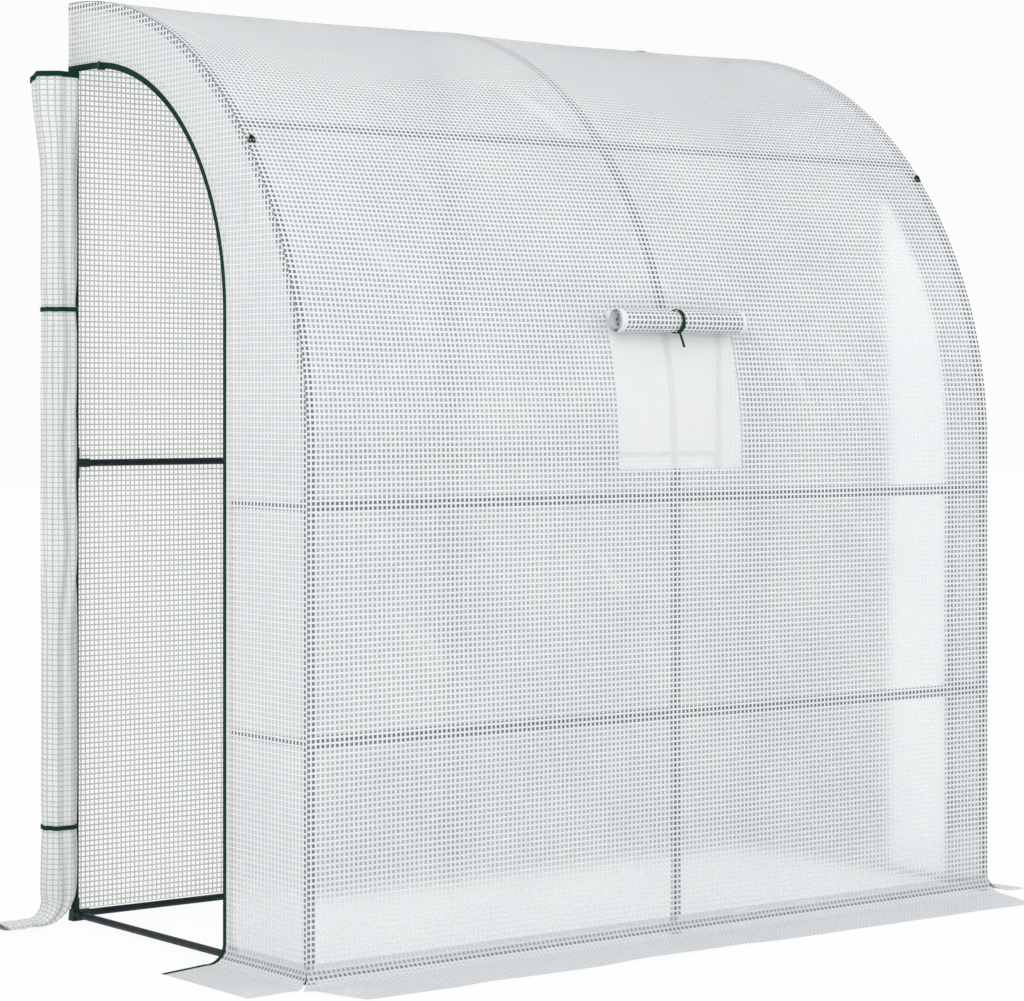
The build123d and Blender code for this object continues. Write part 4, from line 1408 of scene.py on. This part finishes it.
def makeLeaf():
    tape = zipper["width"] + leaf["clear"]

    def place(s, t):
        z = lerp(leaf["bottom"], leafTop(s, tape), t)
        return leafPoint(s, z, 0.0), (s * leaf["flatWidth"], z)

    cloth = clothGrid("rightDoorLeaf", 130, 90, place, (1, 0, 0))
    threads = addThreads(cloth, "rearThreads", threadLift, "right_door")
    settle(cloth, "rear", "right_door", ["door_leaf_right"])

    def placeHead(s, t):
        z = lerp(leafTop(s, tape) - 0.004, leafTop(s, leaf["clear"]), t)
        return leafPoint(s, z, 0.0008), (s * leaf["flatWidth"], z)

    def placeEdge(s, t):
        share = lerp(0.980, 1.0, s)
        z = lerp(leaf["bottom"], leafTop(share, tape) - 0.002, t)
        return leafPoint(share, z, 0.0010), (share * leaf["flatWidth"], z)

    parts = [clothGrid("rightDoorHead", 130, 3, placeHead, (1, 0, 0)),
             clothGrid("rightDoorFree", 3, 90, placeEdge, (1, 0, 0))]
    for piece in parts:
        applyModifier(piece, "SOLIDIFY", thickness=leaf["edgeThick"], offset=1.0)
    edge = joinPieces(parts, "rightDoorEdge")
    settle(edge, "hem", "right_door", ["door_edge_right"])


makeLeaf()
print("right door made")


# ties on the end arches, wall tabs


archTie = {
    "middle": (-0.743808, 1.761118),      # on the arch's centre line
    "out": (-0.779320, 0.626630),
    "down": (-0.626630, -0.779320),
    "loop": 0.0070,
    "cord": 0.0017,
    "lift": 0.0124,
    "sleeve": 0.0094,
    "knot": 0.0045,
    "wrap": 0.0011,
    "wrapStep": 0.0022,
    "lay": math.radians(26),
}


def archTiePoint(x, out, down):
    y = archTie["middle"][0] + out * archTie["out"][0] + down * archTie["down"][0]
    z = archTie["middle"][1] + out * archTie["out"][1] + down * archTie["down"][1]
    return Vector((x, y, z))


def addRing(major, minor, segments, **settings):
    return addShape(bpy.ops.mesh.primitive_torus_add, major_radius=major, minor_radius=minor,
                    major_segments=segments[0], minor_segments=segments[1], **settings)


def makeArchTies():
    parts = []
    along = Vector((0, *archTie["down"])).to_track_quat("Z", "X").to_matrix().to_4x4()
    outward = Vector((0, *archTie["out"])).to_track_quat("Z", "Y").to_matrix().to_4x4()
    for x in (-house["tubeX"], house["tubeX"]):
        for turn in (-1, 1):     # two wraps round the tube, under the cover
            wrap = addRing(archTie["sleeve"], archTie["wrap"], (36, 8))
            tilt = Matrix.Rotation(turn * 0.10, 4, "Y")
            spot = Matrix.Translation(archTiePoint(x, 0, turn * archTie["wrapStep"]))
            wrap.matrix_world = spot @ along @ tilt
            parts.append(wrap)
        for turn in (-1, 1):     # two loops of the bow, outside it
            loop = addRing(archTie["loop"], archTie["cord"], (32, 10))
            for vertex in loop.data.vertices:
                vertex.co.x *= 0.62
                vertex.co.z += 0.0022 * math.sin(vertex.co.y * 260)
            lay = Matrix.Rotation(turn * archTie["lay"], 4, "Z")
            shift = Matrix.Translation((0, -archTie["loop"] * 0.9, 0))
            spot = Matrix.Translation(archTiePoint(x, archTie["lift"] + 0.003, 0))
            loop.matrix_world = spot @ outward @ lay @ shift
            parts.append(loop)
        spot = archTiePoint(x, archTie["lift"] + 0.004, 0)
        parts.append(makeKnot((20, 14), archTie["knot"], spot, 0.0008, 300))
    ties = joinPieces(parts, "archTies")
    settle(ties, "green", "greenhouse", ["arch_ties"])


tail = {"top": 1.75236, "y": -0.73601, "length": 0.166, "diameter": 0.0036, "knot": 0.0036}


def makeTail():
    top, y = tail["top"], tail["y"]
    length = tail["length"]
    spots = [(0.0, 0.0, 0.0), (0.0, 0.0005, 0.03), (-0.0010, 0.002, 0.07), (0.0012, 0.0005, 0.11),
             (0.0004, -0.0012, 0.145), (0.0, -0.0005, length)]
    curve = bpy.data.curves.new("tieTail", "CURVE")
    curve.dimensions = "3D"
    curve.bevel_depth = tail["diameter"] / 2
    curve.bevel_resolution = 3
    curve.use_fill_caps = True
    spline = curve.splines.new("NURBS")
    spline.points.add(len(spots) - 1)
    for point, (dx, dy, drop) in zip(spline.points, spots):
        point.co = (-house["tubeX"] + dx, y + dy, top - drop, 1.0)
    spline.order_u = 3
    spline.use_endpoint_u = True
    spline.resolution_u = 12
    cord = bpy.data.objects.new("tieTail", curve)
    scene.collection.objects.link(cord)
    cord.data.materials.append(finishes["green"])
    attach(cord, "greenhouse")
    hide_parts("tie_tail")
    spot = (-house["tubeX"], y - 0.0005, top - length + 0.0035)
    knot = makeKnot((16, 10), tail["knot"], spot, 0.0006, 420, tall=1.15)
    knot.name = "tieTailKnot"
    settle(knot, "green", "greenhouse")


tabs = {"places": (-0.080, 0.730), "holeZ": 2.089505, "top": 2.139505, "height": 0.070,
        "width": 0.042, "hole": 0.0040, "y": 0.0117, "thick": 0.0019, "bevel": 0.0004}
eyelet = {"radius": 0.0058, "wire": 0.0018, "flat": 0.6}


def makeTab(x):
    # a ring of faces from the hole out to the tab's four sides
    tab = addShape(bpy.ops.mesh.primitive_circle_add, vertices=40, radius=tabs["hole"])
    editAll(tab, bpy.ops.mesh.extrude_edges_move)
    low = tabs["top"] - tabs["height"] - tabs["holeZ"]
    high = tabs["top"] - tabs["holeZ"]
    for vertex in [vertex for vertex in tab.data.vertices if vertex.select]:
        flatX, flatZ = vertex.co.x, vertex.co.y
        reachX = tabs["width"] / 2 / max(1e-6, abs(flatX))
        reachZ = (high if flatZ > 0 else -low) / max(1e-6, abs(flatZ))
        grow = min(reachX, reachZ)
        vertex.co.x, vertex.co.y = flatX * grow, flatZ * grow
    editAll(tab, bpy.ops.mesh.subdivide, number_cuts=2)
    for vertex in tab.data.vertices:
        vertex.co = (x + vertex.co.x, tabs["y"], tabs["holeZ"] + vertex.co.y)
    tab.data.update()
    editAll(tab, bpy.ops.mesh.normals_make_consistent, inside=False)
    applyModifier(tab, "SOLIDIFY", thickness=tabs["thick"], offset=0.0)
    for vertex in tab.data.vertices:
        vertex.co.y += tabs["thick"] / 2
    applyModifier(tab, "BEVEL", width=tabs["bevel"], segments=2, limit_method="ANGLE")
    return tab


def makeEyelet(x):
    face = tabs["y"] + tabs["thick"]
    ring = addRing(eyelet["radius"], eyelet["wire"], (40, 12), rotation=(math.pi / 2, 0, 0),
                   location=(x, face, tabs["holeZ"]))
    bpy.ops.object.transform_apply(location=True, rotation=True)
    for vertex in ring.data.vertices:
        vertex.co.y = face + (vertex.co.y - face) * eyelet["flat"]
    return ring


def makeTabs():
    straps = []
    rings = []
    for x in tabs["places"]:
        straps.append(makeTab(x))
        rings.append(makeEyelet(x))
    settle(joinPieces(straps, "wallTabs"), "webbing", "greenhouse", ["wall_tabs"])
    settle(joinPieces(rings, "wallTabEyelets"), "eyelet", "greenhouse")


makeArchTies()
makeTail()
makeTabs()
print("arch ties, tail and wall tabs made")

bpy.ops.object.select_all(action="DESELECT")
